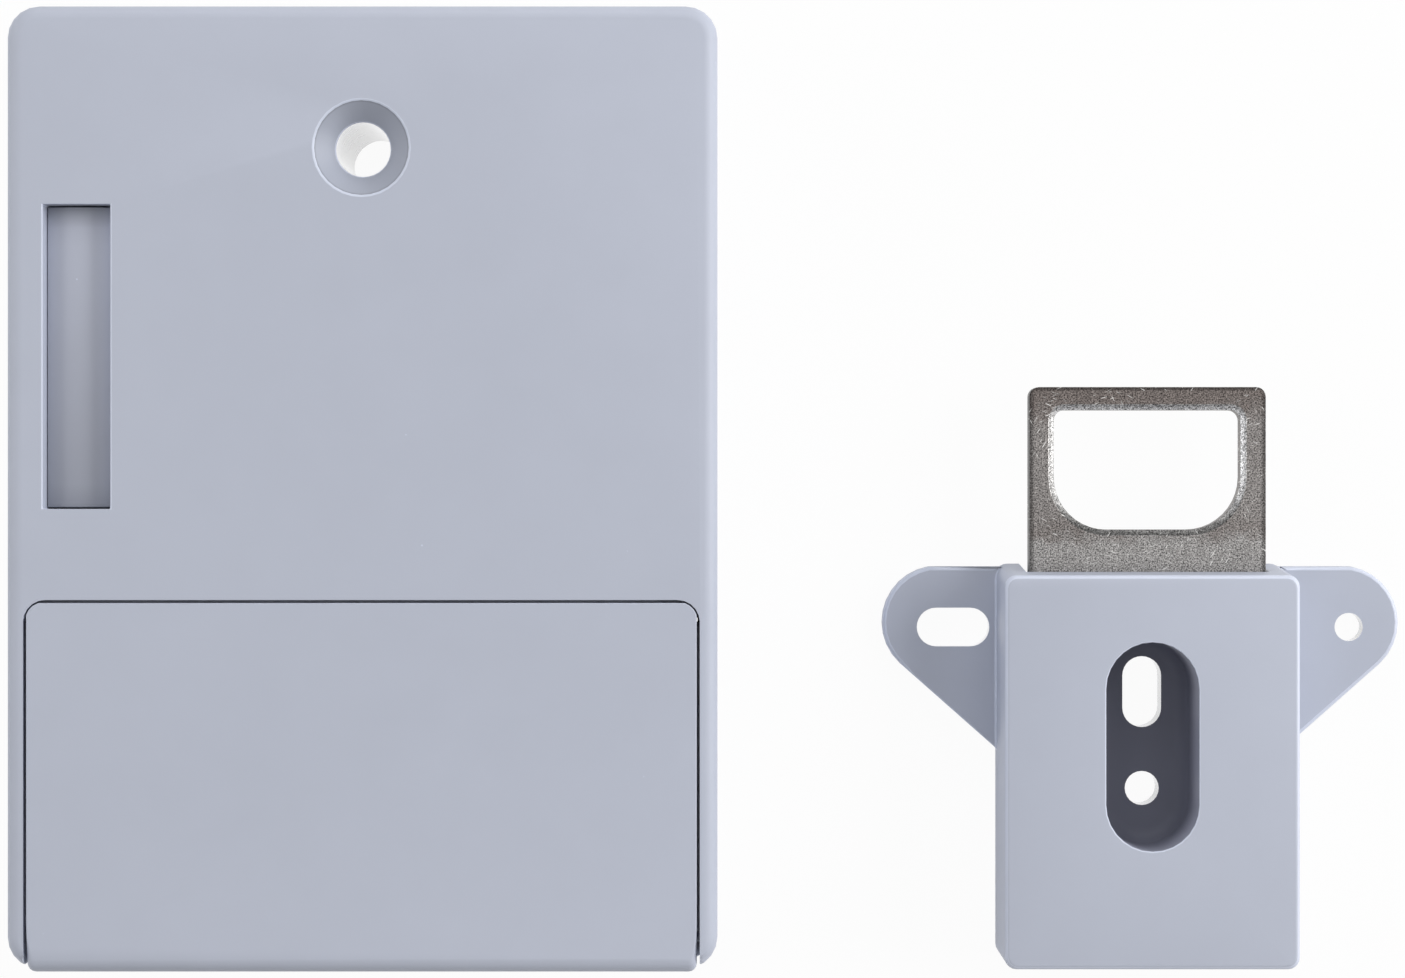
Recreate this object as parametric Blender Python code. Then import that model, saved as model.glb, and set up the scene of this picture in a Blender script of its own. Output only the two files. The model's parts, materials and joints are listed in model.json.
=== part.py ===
"""Hidden cabinet lock: a moulded lock case with a motor-driven bolt, and its strike with a steel plate.

Both things lie on their mounting faces at z = 0, side by side, facing +Z.
Lengths are metres. +X is to the right and +Y is up, as the maker sees the faces.
The middle of the whole layout is x = 0, y = 0.
"""

import math

import bmesh
import bpy
import numpy as np
from mathutils import Matrix, Vector

# Fits
GAP = 0.0003                 # clear gap between parts that rest on each other or slide
RUNNING_FIT = 0.0001         # radial clearance of a gear on its pin
PRESS_FIT = 0.00005          # radial clearance of a pin in its seat
OVERCUT = 0.0010             # how far a cutter runs past the surface that it opens
SINK = 0.0004                # how deep a rib or post is rooted in the wall that carries it
ROUND_STEPS = 24             # facets round a turned part
CORNER_STEPS = 5             # facets round a quarter corner
END_STEPS = 14               # facets round the end of a recess or an oblong hole
COIL_STEPS = 10              # points along a turn of a spring

# Lock case
CASE_WIDTH = 0.07125
CASE_LENGTH = 0.0966
CASE_THICKNESS = 0.0230
CASE_WALL = 0.0020
CASE_CORNER = 0.0032
CASE_FILLET = 0.0014
LEAST_CORNER = 0.0006        # of any outline drawn in from the case's
BACK_THICKNESS = 0.0020

# Screws that hold the back plate, each in a boss of the case
CASE_SCREW_DIAMETER = 0.0024
CASE_SCREW_HEAD = 0.0042
CASE_SCREW_LENGTH = 0.0095
BOSS_RADIUS = 0.0028
BOSS_INSET = 0.0052          # from the case's sides and its top to a boss

# Screw hole through the case
HOLE_FROM_TOP = 0.0143
HOLE_DIAMETER = 0.0055
HOLE_SINK_DIAMETER = 0.00965
HOLE_POST_WALL = 0.0015

# Slot for the strike plate
SLOT_WIDTH = 0.00675
SLOT_LENGTH = 0.0305
SLOT_FROM_SIDE = 0.00375
SLOT_ABOVE_COVER = 0.0094    # from the battery cover's top edge to the slot's low end
SLOT_SIDE_WALL = 0.0012
SLOT_END_WALL = 0.0024

# Ejector in the slot
EJECTOR_DEPTH = 0.0018       # how far its crest lies below the face at rest
EJECTOR_THICKNESS = 0.0030
EJECTOR_TRAVEL = 0.0127      # takes the plate's tip past the bolt
EJECTOR_CROWN = 0.0012       # how far its top falls from the crest to its sides
CROWN_STEPS = 10             # facets across its top
EJECTOR_FOOT_CLEARANCE = 0.0005   # left under its feet when it is pressed home
EJECTOR_LEG_LENGTH = 0.0036
EJECTOR_LUG = 0.0009
EJECTOR_LUG_HEIGHT = 0.0015
SPRING_WIRE = 0.0005
SPRING_RADIUS = 0.00175
SPRING_TURNS = 5
SPRING_OFFSET = 0.0085

# Bolt
BOLT_WIDTH = 0.0110
BOLT_THICKNESS = 0.0035
BOLT_BOTTOM = 0.0115
BOLT_NOSE_LENGTH = 0.0072
BOLT_TRAVEL = 0.0065
BOLT_TAIL_LAND = 0.0009      # behind the last tooth
BOLT_NOSE_CHAMFER = 0.0008
RACK_DEPTH = 0.00205         # from the bolt's low edge up to the rack's pitch line

# Gear train, from the bolt's rack back to the motor
GEAR_MODULE = 0.0006
PINION_TEETH = 8
WHEEL_TEETH = 24
RACK_PINION_TEETH = 10
PRESSURE_ANGLE = math.radians(20)
TOOTH_ADDENDUM = 0.9         # in modules
TOOTH_DEDENDUM = 1.2         # in modules
WHEEL_TIP_RELIEF = 0.1       # how much shorter a wheel's teeth are, in modules
WHEEL_RIM = 2.2              # depth of a wheel's rim, in modules
HUB_RIM = 1.6                # how far a wheel's hub stands out past its pinion's pitch circle, in modules
WHEEL_ROOM = 2.0             # room round a gear's pitch circle in the frame, in modules
TOOTH_BACKLASH = 0.00016
CENTRE_CLEARANCE = 0.00005
WHEEL_THICKNESS = 0.0028
GEAR_PIN_DIAMETER = 0.0015
GEAR_SEAT_RADIUS = 0.0016
FIRST_WHEEL_ABOVE_FRAME = 0.0006
SECOND_GEAR_SETBACK = 0.0136  # from the slot's right side to the second gear's axis
SECOND_TO_FIRST_ANGLE = math.radians(-20)
FIRST_TO_MOTOR_ANGLE = math.radians(-5)
MOTOR_DIAMETER = 0.0100
MOTOR_HEIGHT = 0.0080
MOTOR_CAP_HEIGHT = 0.0016
MOTOR_TERMINAL_HEIGHT = 0.0008
MOTOR_RIB_RADIUS = 0.0020    # of the case's rib that holds the motor down

# Mechanism frame
FRAME_PLATE = 0.0010
FRAME_POST_DIAMETER = 0.0034
FRAME_POST_SEAT = 0.0025     # radius of the base plate round a post
LOW_POST_OFFSET = (-0.0060, -0.0101)   # from the second gear's axis
HIGH_POST_OFFSET = (0.0044, 0.0102)    # from the first gear's axis
GUIDE_WALL = 0.0015
GUIDE_LENGTH = 0.0040
BOLT_RAIL_LENGTH = 0.0132    # from the guide on
BOLT_RAIL_CLEARANCE = 0.0014 # from the second gear's wheel to the bolt's rail
BEARING_PLATE_MARGIN = 0.0022
BEARING_PLATE_THICKNESS = 0.0008
FRAME_SCREW_DIAMETER = 0.0014
FRAME_SCREW_TIP = 0.0009     # above the mounting face

# Battery bay
COVER_FROM_SIDE = 0.002075   # from the case's side to the cover's
COVER_THICKNESS = 0.0020
COVER_CORNER = 0.0019
COVER_LIP = 0.0080
COVER_PROUD = 0.0003
DIVIDER_ABOVE = 0.0010       # how far the wall above the bay stands over the cover's top edge
DIVIDER_BELOW = 0.0012       # and under it
RAIL_DROP = 0.0021           # from the cover's inner face down to its rails' feet
RAIL_WIDTH = 0.0012
RAIL_END_GAP = 0.0020        # from the cover's top edge to its rails
RAIL_LOW_GAP = 0.0035        # from the case's end to its rails
TONGUE_REACH = 0.0009
TONGUE_HEIGHT = 0.0012
CELL_DIAMETER = 0.0105
CELL_LENGTH = 0.0445
CELL_SPACING = 0.0003        # between neighbouring cells
CELL_NUB_DIAMETER = 0.0038
CELL_NUB_LENGTH = 0.0012
CELL_COUNT = 3
CONTACT_THICKNESS = 0.0004
CONTACT_SPRING_LENGTH = 0.0048
CONTACT_HEIGHT = 0.0062
CONTACT_WIDTH = 0.0070
CONTACT_SPRING_TURNS = 3
CONTACT_SPRING_BASE = 0.00323
CONTACT_SPRING_TIP = 0.00152
TRAY_WALL = 0.0012
TRAY_FLOOR = 0.0022
TRAY_LENGTH_ROOM = 0.00055   # spare room in the tray along the row of cells
TRAY_RIB_SHARE = 0.7         # where the ribs under the tray stand, in half tray widths
CRADLE_DEPTH = 0.0020

# Electronics
BOARD_WIDTH = 0.0130
BOARD_LENGTH = 0.0340
BOARD_THICKNESS = 0.0012
BOARD_HEIGHT = 0.0080
BUZZER_DIAMETER = 0.0095
BUZZER_HEIGHT = 0.0040
CHIP_SIDE = 0.0070
CHIP_HEIGHT = 0.0010
CHIP_RISE = 0.0110           # from the board's low end to the chip's middle
STANDOFF_RADIUS = 0.0014
STANDOFF_INSET = 0.0022
COIL_WIDTH = 0.0110
COIL_LENGTH = 0.0252
COIL_BAND = 0.0020
COIL_THICKNESS = 0.0012
SWITCH_BELOW_COVER = 0.0100  # from the cover's top edge to the setting switch
SWITCH_BOARD_LENGTH = 0.0090
SWITCH_BOARD_FOOT = 0.0065
SWITCH_SIDE = 0.0048
SWITCH_HEIGHT = 0.0030
BUTTON_DIAMETER = 0.0030
BUTTON_HEIGHT = 0.0028
BUTTON_SEAT = 0.0011         # how deep the button sits in the switch
BUTTON_TRAVEL = 0.0005

# Strike
STRIKE_GAP = 0.0176          # from the case to the nearer wing, as laid out
STRIKE_DROP = 0.0015         # how much lower the strike's end lies than the case's, as laid out
STRIKE_WIDTH = 0.0305
STRIKE_LENGTH = 0.0407
STRIKE_HEIGHT = 0.0120
STRIKE_CORNER = 0.0012
STRIKE_EDGE = 0.0005
STRIKE_TOP_DRAFT = 0.0010
WING_SPAN = 0.0548
WING_THICKNESS = 0.0020
WING_LENGTH = 0.0200         # along the housing's side
WING_TIP_DROP = 0.0062       # from the top edge down to the widest point
WING_ARC = (100, 227)        # degrees that the left wing's round end spans
WING_TIP_RADIUS = 0.0060
WING_HOLE_DROP = 0.0067
WING_OBLONG_X = -0.0199
WING_OBLONG_LENGTH = 0.0077
WING_OBLONG_WIDTH = 0.0041
WING_ROUND_X = 0.0221
WING_ROUND_DIAMETER = 0.0030
RECESS_WIDTH = 0.0096
RECESS_LENGTH = 0.0216
RECESS_FROM_TOP = 0.0069
RECESS_FLOOR = 0.0030
RECESS_FILLET = 0.0016
RECESS_WALL = 0.0012
RECESS_OBLONG_WIDTH = 0.0041
RECESS_OBLONG_LENGTH = 0.0075
RECESS_OBLONG_DROP = 0.0056   # from the recess's top end to the oblong hole's middle
RECESS_ROUND_DIAMETER = 0.0036
RECESS_ROUND_RISE = 0.0058    # from the recess's low end to the round hole's middle
PLATE_WIDTH = 0.0247
PLATE_THICKNESS = 0.0024
PLATE_BOTTOM = 0.0055
PLATE_REACH = 0.0196
PLATE_DEPTH = 0.0150          # how far its legs run inside the housing
STRIKE_SCREW_RISE = 0.0042    # from the legs' ends to the screws that hold them
PLATE_CORNER = 0.0010
PLATE_TIP = 0.0024
WINDOW_WIDTH = 0.0195
WINDOW_LENGTH = 0.0125
WINDOW_TOP_RADIUS = 0.0011
WINDOW_LOW_RADIUS = 0.0055
WINDOW_BEVEL = 0.0006
WINDOW_STEPS = 10            # facets round a corner of the window
INSERT_THICKNESS = 0.0016
STRIKE_SCREW_DIAMETER = 0.0024
STRIKE_SCREW_HEAD = 0.0044

# Levels above the mounting face
CASE_CEILING = CASE_THICKNESS - CASE_WALL
INNER_FLOOR = BACK_THICKNESS + GAP
BOLT_TOP = BOLT_BOTTOM + BOLT_THICKNESS

# The layout: the whole is centred on x = 0, y = 0
OVERALL_WIDTH = CASE_WIDTH + STRIKE_GAP + WING_SPAN
OVERALL_LENGTH = CASE_LENGTH + STRIKE_DROP
CASE_X = (CASE_WIDTH - OVERALL_WIDTH) / 2
CASE_Y = STRIKE_DROP / 2
STRIKE_X = (OVERALL_WIDTH - WING_SPAN) / 2
STRIKE_Y = -OVERALL_LENGTH / 2 + STRIKE_LENGTH / 2

# Places in the case, from the case's middle; the bay takes its length from the cells
CASE_TOP = CASE_LENGTH / 2
CELL_PITCH = CELL_DIAMETER + CELL_SPACING
TRAY_LENGTH = CELL_COUNT * CELL_PITCH + TRAY_LENGTH_ROOM
TRAY_Y0 = CASE_WALL + GAP - CASE_TOP
TRAY_Y1 = TRAY_Y0 + TRAY_LENGTH
DIVIDER_LOW = TRAY_Y1 + GAP
COVER_TOP = DIVIDER_LOW + DIVIDER_BELOW
COVER_END = -CASE_TOP - COVER_PROUD
COVER_HALF = CASE_WIDTH / 2 - COVER_FROM_SIDE
COVER_UNDER = CASE_THICKNESS - COVER_THICKNESS
DIVIDER_HIGH = COVER_TOP + DIVIDER_ABOVE
RAIL_FOOT = COVER_UNDER - RAIL_DROP
RAIL_HIGH = COVER_TOP - RAIL_END_GAP
RAIL_LOW = RAIL_LOW_GAP - CASE_TOP
HOLE_Y = CASE_TOP - HOLE_FROM_TOP
HOLE_POST_RADIUS = HOLE_SINK_DIAMETER / 2 + HOLE_POST_WALL
SLOT_X = -CASE_WIDTH / 2 + SLOT_FROM_SIDE + SLOT_WIDTH / 2
SLOT_LOW = COVER_TOP + SLOT_ABOVE_COVER
SLOT_HIGH = SLOT_LOW + SLOT_LENGTH
SLOT_Y = (SLOT_LOW + SLOT_HIGH) / 2
SLOT_RIGHT = SLOT_X + SLOT_WIDTH / 2
WELL_LEFT = SINK - CASE_WIDTH / 2
WELL_RIGHT = SLOT_RIGHT + SLOT_SIDE_WALL
WELL_FLOOR = INNER_FLOOR + GAP
BOSS_X = CASE_WIDTH / 2 - BOSS_INSET
BOSS_HIGH_Y = CASE_TOP - BOSS_INSET
BOSS_LOW_Y = DIVIDER_HIGH + BOSS_RADIUS - SINK
BOSSES = {"upper_left": (-BOSS_X, BOSS_HIGH_Y), "upper_right": (BOSS_X, BOSS_HIGH_Y),
          "lower_left": (-BOSS_X, BOSS_LOW_Y), "lower_right": (BOSS_X, BOSS_LOW_Y)}
EJECTOR_TOP = CASE_THICKNESS - EJECTOR_DEPTH
EJECTOR_UNDER = EJECTOR_TOP - EJECTOR_THICKNESS
EJECTOR_FOOT = BACK_THICKNESS + EJECTOR_TRAVEL + EJECTOR_FOOT_CLEARANCE
LUG_TOP = EJECTOR_FOOT + EJECTOR_LUG_HEIGHT

# The gear train
PINION_RADIUS = PINION_TEETH * GEAR_MODULE / 2
WHEEL_RADIUS = WHEEL_TEETH * GEAR_MODULE / 2
RACK_PINION_RADIUS = RACK_PINION_TEETH * GEAR_MODULE / 2
GEAR_CENTRES = PINION_RADIUS + WHEEL_RADIUS + CENTRE_CLEARANCE
RACK_LINE = SLOT_Y - BOLT_WIDTH / 2 + RACK_DEPTH
SECOND_GEAR = (SLOT_RIGHT + SECOND_GEAR_SETBACK, RACK_LINE - RACK_PINION_RADIUS - CENTRE_CLEARANCE)
FIRST_GEAR = (SECOND_GEAR[0] + GEAR_CENTRES * math.cos(SECOND_TO_FIRST_ANGLE),
              SECOND_GEAR[1] + GEAR_CENTRES * math.sin(SECOND_TO_FIRST_ANGLE))
MOTOR = (FIRST_GEAR[0] + GEAR_CENTRES * math.cos(FIRST_TO_MOTOR_ANGLE),
         FIRST_GEAR[1] + GEAR_CENTRES * math.sin(FIRST_TO_MOTOR_ANGLE))

# The bolt and its rack; there are teeth for the whole travel
BOLT_TIP = SLOT_RIGHT + GAP
BOLT_HIGH = SLOT_Y + BOLT_WIDTH / 2
RACK_PITCH = math.pi * GEAR_MODULE
RACK_ROOT = RACK_LINE + TOOTH_DEDENDUM * GEAR_MODULE
RACK_TIP = RACK_LINE - TOOTH_ADDENDUM * GEAR_MODULE
TEETH_AHEAD = 2              # teeth between the nose and the second gear's axis
TEETH_BEHIND = int(BOLT_TRAVEL / RACK_PITCH) + 1
BOLT_TAIL = SECOND_GEAR[0] + TEETH_BEHIND * RACK_PITCH + BOLT_TAIL_LAND

# Levels and places of the mechanism
FRAME_TOP = INNER_FLOOR + FRAME_PLATE
FIRST_WHEEL_FLOOR = FRAME_TOP + FIRST_WHEEL_ABOVE_FRAME
SECOND_WHEEL_FLOOR = FIRST_WHEEL_FLOOR + WHEEL_THICKNESS + 2 * GAP
FIRST_GEAR_TOP = SECOND_WHEEL_FLOOR + WHEEL_THICKNESS + GAP
MOTOR_FLOOR = SECOND_WHEEL_FLOOR
MOTOR_CAP_FLOOR = MOTOR_FLOOR + MOTOR_HEIGHT + GAP / 3
MOTOR_CAP_TOP = MOTOR_CAP_FLOOR + MOTOR_CAP_HEIGHT
BEARING_FLOOR = BOLT_TOP + 2 * GAP
BEARING_TOP = BEARING_FLOOR + BEARING_PLATE_THICKNESS
POST_TOP = BEARING_FLOOR - GAP
POST_LOW = (SECOND_GEAR[0] + LOW_POST_OFFSET[0], SECOND_GEAR[1] + LOW_POST_OFFSET[1])
POST_HIGH = (FIRST_GEAR[0] + HIGH_POST_OFFSET[0], FIRST_GEAR[1] + HIGH_POST_OFFSET[1])
GUIDE_X = WELL_RIGHT + GAP
GUIDE_END = GUIDE_X + GUIDE_LENGTH
BOLT_RAIL_END = GUIDE_END + BOLT_RAIL_LENGTH
BOLT_RAIL_INNER = SECOND_GEAR[1] + WHEEL_RADIUS + BOLT_RAIL_CLEARANCE
BOLT_RAIL_OUTER = BOLT_HIGH + GAP + GUIDE_WALL
PIN_SEAT = GEAR_PIN_DIAMETER / 2 + PRESS_FIT

# The boards and the battery tray, which stands against the case's right wall
BOARD_X1 = CASE_WIDTH / 2 - CASE_WALL - 2 * GAP
BOARD_X0 = BOARD_X1 - BOARD_WIDTH
BOARD_Y0 = BOSS_LOW_Y + BOSS_RADIUS + 2 * GAP
BOARD_Y1 = BOARD_Y0 + BOARD_LENGTH
BOARD_TOP = BOARD_HEIGHT + BOARD_THICKNESS
TRAY_HALF = (CELL_LENGTH + CONTACT_SPRING_LENGTH + 2 * CONTACT_THICKNESS + 5 * GAP) / 2
TRAY_END = TRAY_HALF + TRAY_WALL
TRAY_X = CASE_WIDTH / 2 - CASE_WALL - GAP - TRAY_END
CELL_Y = (TRAY_Y0 + TRAY_Y1) / 2
CELL_Z = COVER_UNDER - 2 * GAP - CELL_DIAMETER / 2
CRADLE_BOTTOM = CELL_Z - CELL_DIAMETER / 2 - GAP
CRADLE_TOP = CRADLE_BOTTOM + CRADLE_DEPTH
TRAY_FOOT = CRADLE_BOTTOM - TRAY_FLOOR
TRAY_TOP = CRADLE_TOP + CONTACT_HEIGHT + 2 * GAP
SWITCH_BOARD_X0 = CASE_WALL + 2 * GAP - CASE_WIDTH / 2
SWITCH_BOARD_X1 = TRAY_X - TRAY_END - 2 * GAP
SWITCH_X = (SWITCH_BOARD_X0 + SWITCH_BOARD_X1) / 2
SWITCH_Y = COVER_TOP - SWITCH_BELOW_COVER
SWITCH_FOOT = SWITCH_BOARD_FOOT + BOARD_THICKNESS + GAP
BUTTON_FOOT = SWITCH_FOOT + SWITCH_HEIGHT - BUTTON_SEAT

# Places in the strike, from its housing's middle
STRIKE_LOW = -STRIKE_LENGTH / 2
STRIKE_FACE_TOP = STRIKE_LENGTH / 2
STRIKE_TOP = STRIKE_FACE_TOP + STRIKE_TOP_DRAFT
RECESS_TOP = STRIKE_FACE_TOP - RECESS_FROM_TOP
RECESS_Y = RECESS_TOP - RECESS_LENGTH / 2
WELL_HALF = RECESS_WIDTH / 2 + RECESS_WALL
WELL_TOP = RECESS_TOP + RECESS_WALL
PLATE_TOP = PLATE_BOTTOM + PLATE_THICKNESS
PLATE_LOW = STRIKE_FACE_TOP - PLATE_DEPTH
PLATE_END = STRIKE_FACE_TOP + PLATE_REACH
LEG_X = (PLATE_WIDTH / 2 + WELL_HALF + GAP) / 2
LEG_SCREW_Y = PLATE_LOW + STRIKE_SCREW_RISE

for old in list(bpy.data.objects):
    bpy.data.objects.remove(old, do_unlink=True)


def finish(name, colour, roughness, metallic=0.0):
    """A plain material of one colour."""
    material = bpy.data.materials.new(name)
    material.use_nodes = True
    shader = material.node_tree.nodes["Principled BSDF"]
    shader.inputs["Base Color"].default_value = (*colour, 1.0)
    shader.inputs["Roughness"].default_value = roughness
    shader.inputs["Metallic"].default_value = metallic
    return material


CASE_PLASTIC = finish("blue grey plastic", (0.45, 0.47, 0.57), 0.55)
GREY_PLASTIC = finish("mid grey plastic", (0.30, 0.31, 0.34), 0.55)
DARK_PLASTIC = finish("black plastic", (0.03, 0.03, 0.03), 0.5)
WHITE_PLASTIC = finish("white plastic", (0.75, 0.75, 0.72), 0.45)
STEEL = finish("brushed steel", (0.42, 0.40, 0.38), 0.35, 1.0)
NICKEL = finish("nickel", (0.6, 0.6, 0.58), 0.3, 1.0)
COPPER = finish("wound copper", (0.6, 0.28, 0.12), 0.4, 1.0)
BOARD_GREEN = finish("board green", (0.03, 0.15, 0.06), 0.5)
CELL_WRAP = finish("cell wrap", (0.12, 0.16, 0.2), 0.35)


def frame(name, x, y):
    """An empty that carries the parts of one of the two things."""
    holder = bpy.data.objects.new(name, None)
    holder.location = (x, y, 0)
    bpy.context.collection.objects.link(holder)
    return holder


CASE_FRAME = frame("case frame", CASE_X, CASE_Y)
STRIKE_FRAME = frame("strike frame", STRIKE_X, STRIKE_Y)


def place(name, bm, parent, at, material, smooth=False):
    """Turns a bmesh into an object at a place in its frame."""
    bmesh.ops.recalc_face_normals(bm, faces=bm.faces)
    mesh = bpy.data.meshes.new(name)
    bm.to_mesh(mesh)
    bm.free()
    if smooth:
        mesh.shade_smooth()
        mesh.set_sharp_from_angle(angle=math.radians(35))
    if material:
        mesh.materials.append(material)
    piece = bpy.data.objects.new(name, mesh)
    piece.parent = parent
    piece.location = at
    bpy.context.collection.objects.link(piece)
    return piece


def loft(rings, closed=False):
    """A solid through rings of equal length; its ends are capped, or joined where it is closed."""
    bm = bmesh.new()
    loops = [[bm.verts.new(point) for point in ring] for ring in rings]
    pairs = list(zip(loops, loops[1:]))
    if closed:
        pairs.append((loops[-1], loops[0]))
    for low, high in pairs:
        for i, vert in enumerate(low):
            j = (i + 1) % len(low)
            bm.faces.new((vert, low[j], high[j], high[i]))
    if not closed:
        bm.faces.new(list(reversed(loops[0])))
        bm.faces.new(loops[-1])
    return bm


def at_height(outline, z):
    return [(x, y, z) for x, y in outline]


def prism(outline, low, high):
    """An upright solid over an outline."""
    return loft([at_height(outline, low), at_height(outline, high)])


def arc(x, y, radius, start, end, steps):
    """Points round an arc, angles in degrees."""
    angles = np.radians(np.linspace(start, end, steps + 1))
    return [(x + radius * math.cos(a), y + radius * math.sin(a)) for a in angles]


def circle(radius, x=0.0, y=0.0, steps=ROUND_STEPS):
    return arc(x, y, radius, 0, 360, steps)[:-1]


def rounded(x0, y0, x1, y1, low_radius, high_radius=None, steps=CORNER_STEPS):
    """A rectangle with round corners; the high corners may have their own radius."""
    high = low_radius if high_radius is None else high_radius
    return (arc(x1 - low_radius, y0 + low_radius, low_radius, -90, 0, steps)
            + arc(x1 - high, y1 - high, high, 0, 90, steps)
            + arc(x0 + high, y1 - high, high, 90, 180, steps)
            + arc(x0 + low_radius, y0 + low_radius, low_radius, 180, 270, steps))


def box(x0, y0, z0, x1, y1, z1):
    return prism([(x0, y0), (x1, y0), (x1, y1), (x0, y1)], z0, z1)


def turned(profile, steps=ROUND_STEPS):
    """A solid turned about Z from its (radius, height) profile, low to high, capped flat."""
    return loft([at_height(circle(radius, steps=steps), height) for radius, height in profile])


def stadium(width, length, x=0.0, y=0.0, steps=END_STEPS):
    """A slot outline with round ends, longer along Y."""
    radius = width / 2
    reach = length / 2 - radius
    return arc(x, y + reach, radius, 0, 180, steps) + arc(x, y - reach, radius, 180, 360, steps)


def change(target, bm, operation):
    """Cuts a shape out of the target, joins it on, or keeps what both share."""
    tool = place(target.name + " tool", bm, target.parent, target.location, None)
    tool.hide_render = True
    tool.display_type = "WIRE"
    modifier = target.modifiers.new(operation.lower(), "BOOLEAN")
    modifier.operation = operation
    modifier.solver = "EXACT"
    modifier.object = tool


def cut(target, bm):
    change(target, bm, "DIFFERENCE")


def join(target, bm):
    change(target, bm, "UNION")


def moved(bm, x=0.0, y=0.0, z=0.0):
    bmesh.ops.translate(bm, vec=Vector((x, y, z)), verts=bm.verts)
    return bm


HALF_TURN = Matrix.Rotation(math.pi, 3, "Z")


def along_x(bm):
    """Lays a shape that was made about Z down along X, its top to +X."""
    for vert in bm.verts:
        x, y, z = vert.co
        vert.co = (z, y, -x)
    return bm


def case_plan(inset):
    """The case's outline drawn in by an inset."""
    x = CASE_WIDTH / 2 - inset
    y = CASE_LENGTH / 2 - inset
    return rounded(-x, -y, x, y, max(CASE_CORNER - inset, LEAST_CORNER))


def quarter(size, steps=4):
    """Inset and drop of the points round a quarter fillet, from the side to the face."""
    angles = np.linspace(0, math.pi / 2, steps + 1)
    return [(size * (1 - math.cos(a)), size * (1 - math.sin(a))) for a in angles]


def fork(half_width, low, high, inner_half, inner_top):
    """A rectangle with a notch from its low end, round the recess's well."""
    return [(-half_width, low), (-inner_half, low), (-inner_half, inner_top), (inner_half, inner_top),
            (inner_half, low), (half_width, low), (half_width, high), (-half_width, high)]


def make_strike_housing():
    """Box with a drafted top end, on a flange with two wings, open at the back for the plate's legs."""
    rings = []
    edge = [(0.0, STRIKE_HEIGHT)] + quarter(STRIKE_EDGE)
    for inset, drop in edge:
        height = STRIKE_HEIGHT - drop
        top = STRIKE_TOP - STRIKE_TOP_DRAFT * height / STRIKE_HEIGHT
        half = STRIKE_WIDTH / 2 - inset
        rings.append(at_height(rounded(-half, STRIKE_LOW + inset, half, top - inset,
                                       STRIKE_CORNER - inset / 2), height))
    housing = place("strike_housing", loft(rings), STRIKE_FRAME, (0, 0, 0), CASE_PLASTIC)

    wing_x = WING_SPAN / 2 - WING_TIP_RADIUS
    wing_y = STRIKE_TOP - WING_TIP_DROP
    start, end = WING_ARC
    root = STRIKE_WIDTH / 2 - SINK
    foot = STRIKE_TOP - WING_LENGTH
    flange = ([(-root, foot), (root, foot)]
              + arc(wing_x, wing_y, WING_TIP_RADIUS, 180 - end, 0, 4)
              + arc(wing_x, wing_y, WING_TIP_RADIUS, 0, 180 - start, 7)[1:]
              + arc(-wing_x, wing_y, WING_TIP_RADIUS, start, 180, 7)
              + arc(-wing_x, wing_y, WING_TIP_RADIUS, 180, end, 4)[1:])
    join(housing, prism(flange, 0, WING_THICKNESS))

    below = -OVERCUT
    hole_y = STRIKE_TOP - WING_HOLE_DROP
    oblong = [(WING_OBLONG_X + y, hole_y - x) for x, y in stadium(WING_OBLONG_WIDTH, WING_OBLONG_LENGTH)]
    cut(housing, prism(oblong, below, WING_THICKNESS + OVERCUT))
    cut(housing, prism(circle(WING_ROUND_DIAMETER / 2, WING_ROUND_X, hole_y), below,
                       WING_THICKNESS + OVERCUT))

    sink = [at_height(stadium(RECESS_WIDTH - 2 * drop, RECESS_LENGTH - 2 * drop, 0, RECESS_Y),
                      RECESS_FLOOR + inset) for inset, drop in quarter(RECESS_FILLET)]
    sink.append(at_height(stadium(RECESS_WIDTH, RECESS_LENGTH, 0, RECESS_Y), STRIKE_HEIGHT + OVERCUT))
    cut(housing, loft(sink))
    oblong = stadium(RECESS_OBLONG_WIDTH, RECESS_OBLONG_LENGTH, 0, RECESS_TOP - RECESS_OBLONG_DROP)
    cut(housing, prism(oblong, below, RECESS_FLOOR + OVERCUT))
    round_y = RECESS_TOP - RECESS_LENGTH + RECESS_ROUND_RISE
    cut(housing, prism(circle(RECESS_ROUND_DIAMETER / 2, 0, round_y), below, RECESS_FLOOR + OVERCUT))

    pocket = fork(PLATE_WIDTH / 2 + GAP, PLATE_LOW - GAP, STRIKE_TOP + OVERCUT, WELL_HALF, WELL_TOP)
    cut(housing, prism(pocket, below, PLATE_TOP + GAP))
    for side in (-1, 1):
        pilot = circle(STRIKE_SCREW_DIAMETER / 2 + PRESS_FIT, side * LEG_X, LEG_SCREW_Y, 16)
        cut(housing, prism(pilot, PLATE_TOP, STRIKE_HEIGHT - OVERCUT))


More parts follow.
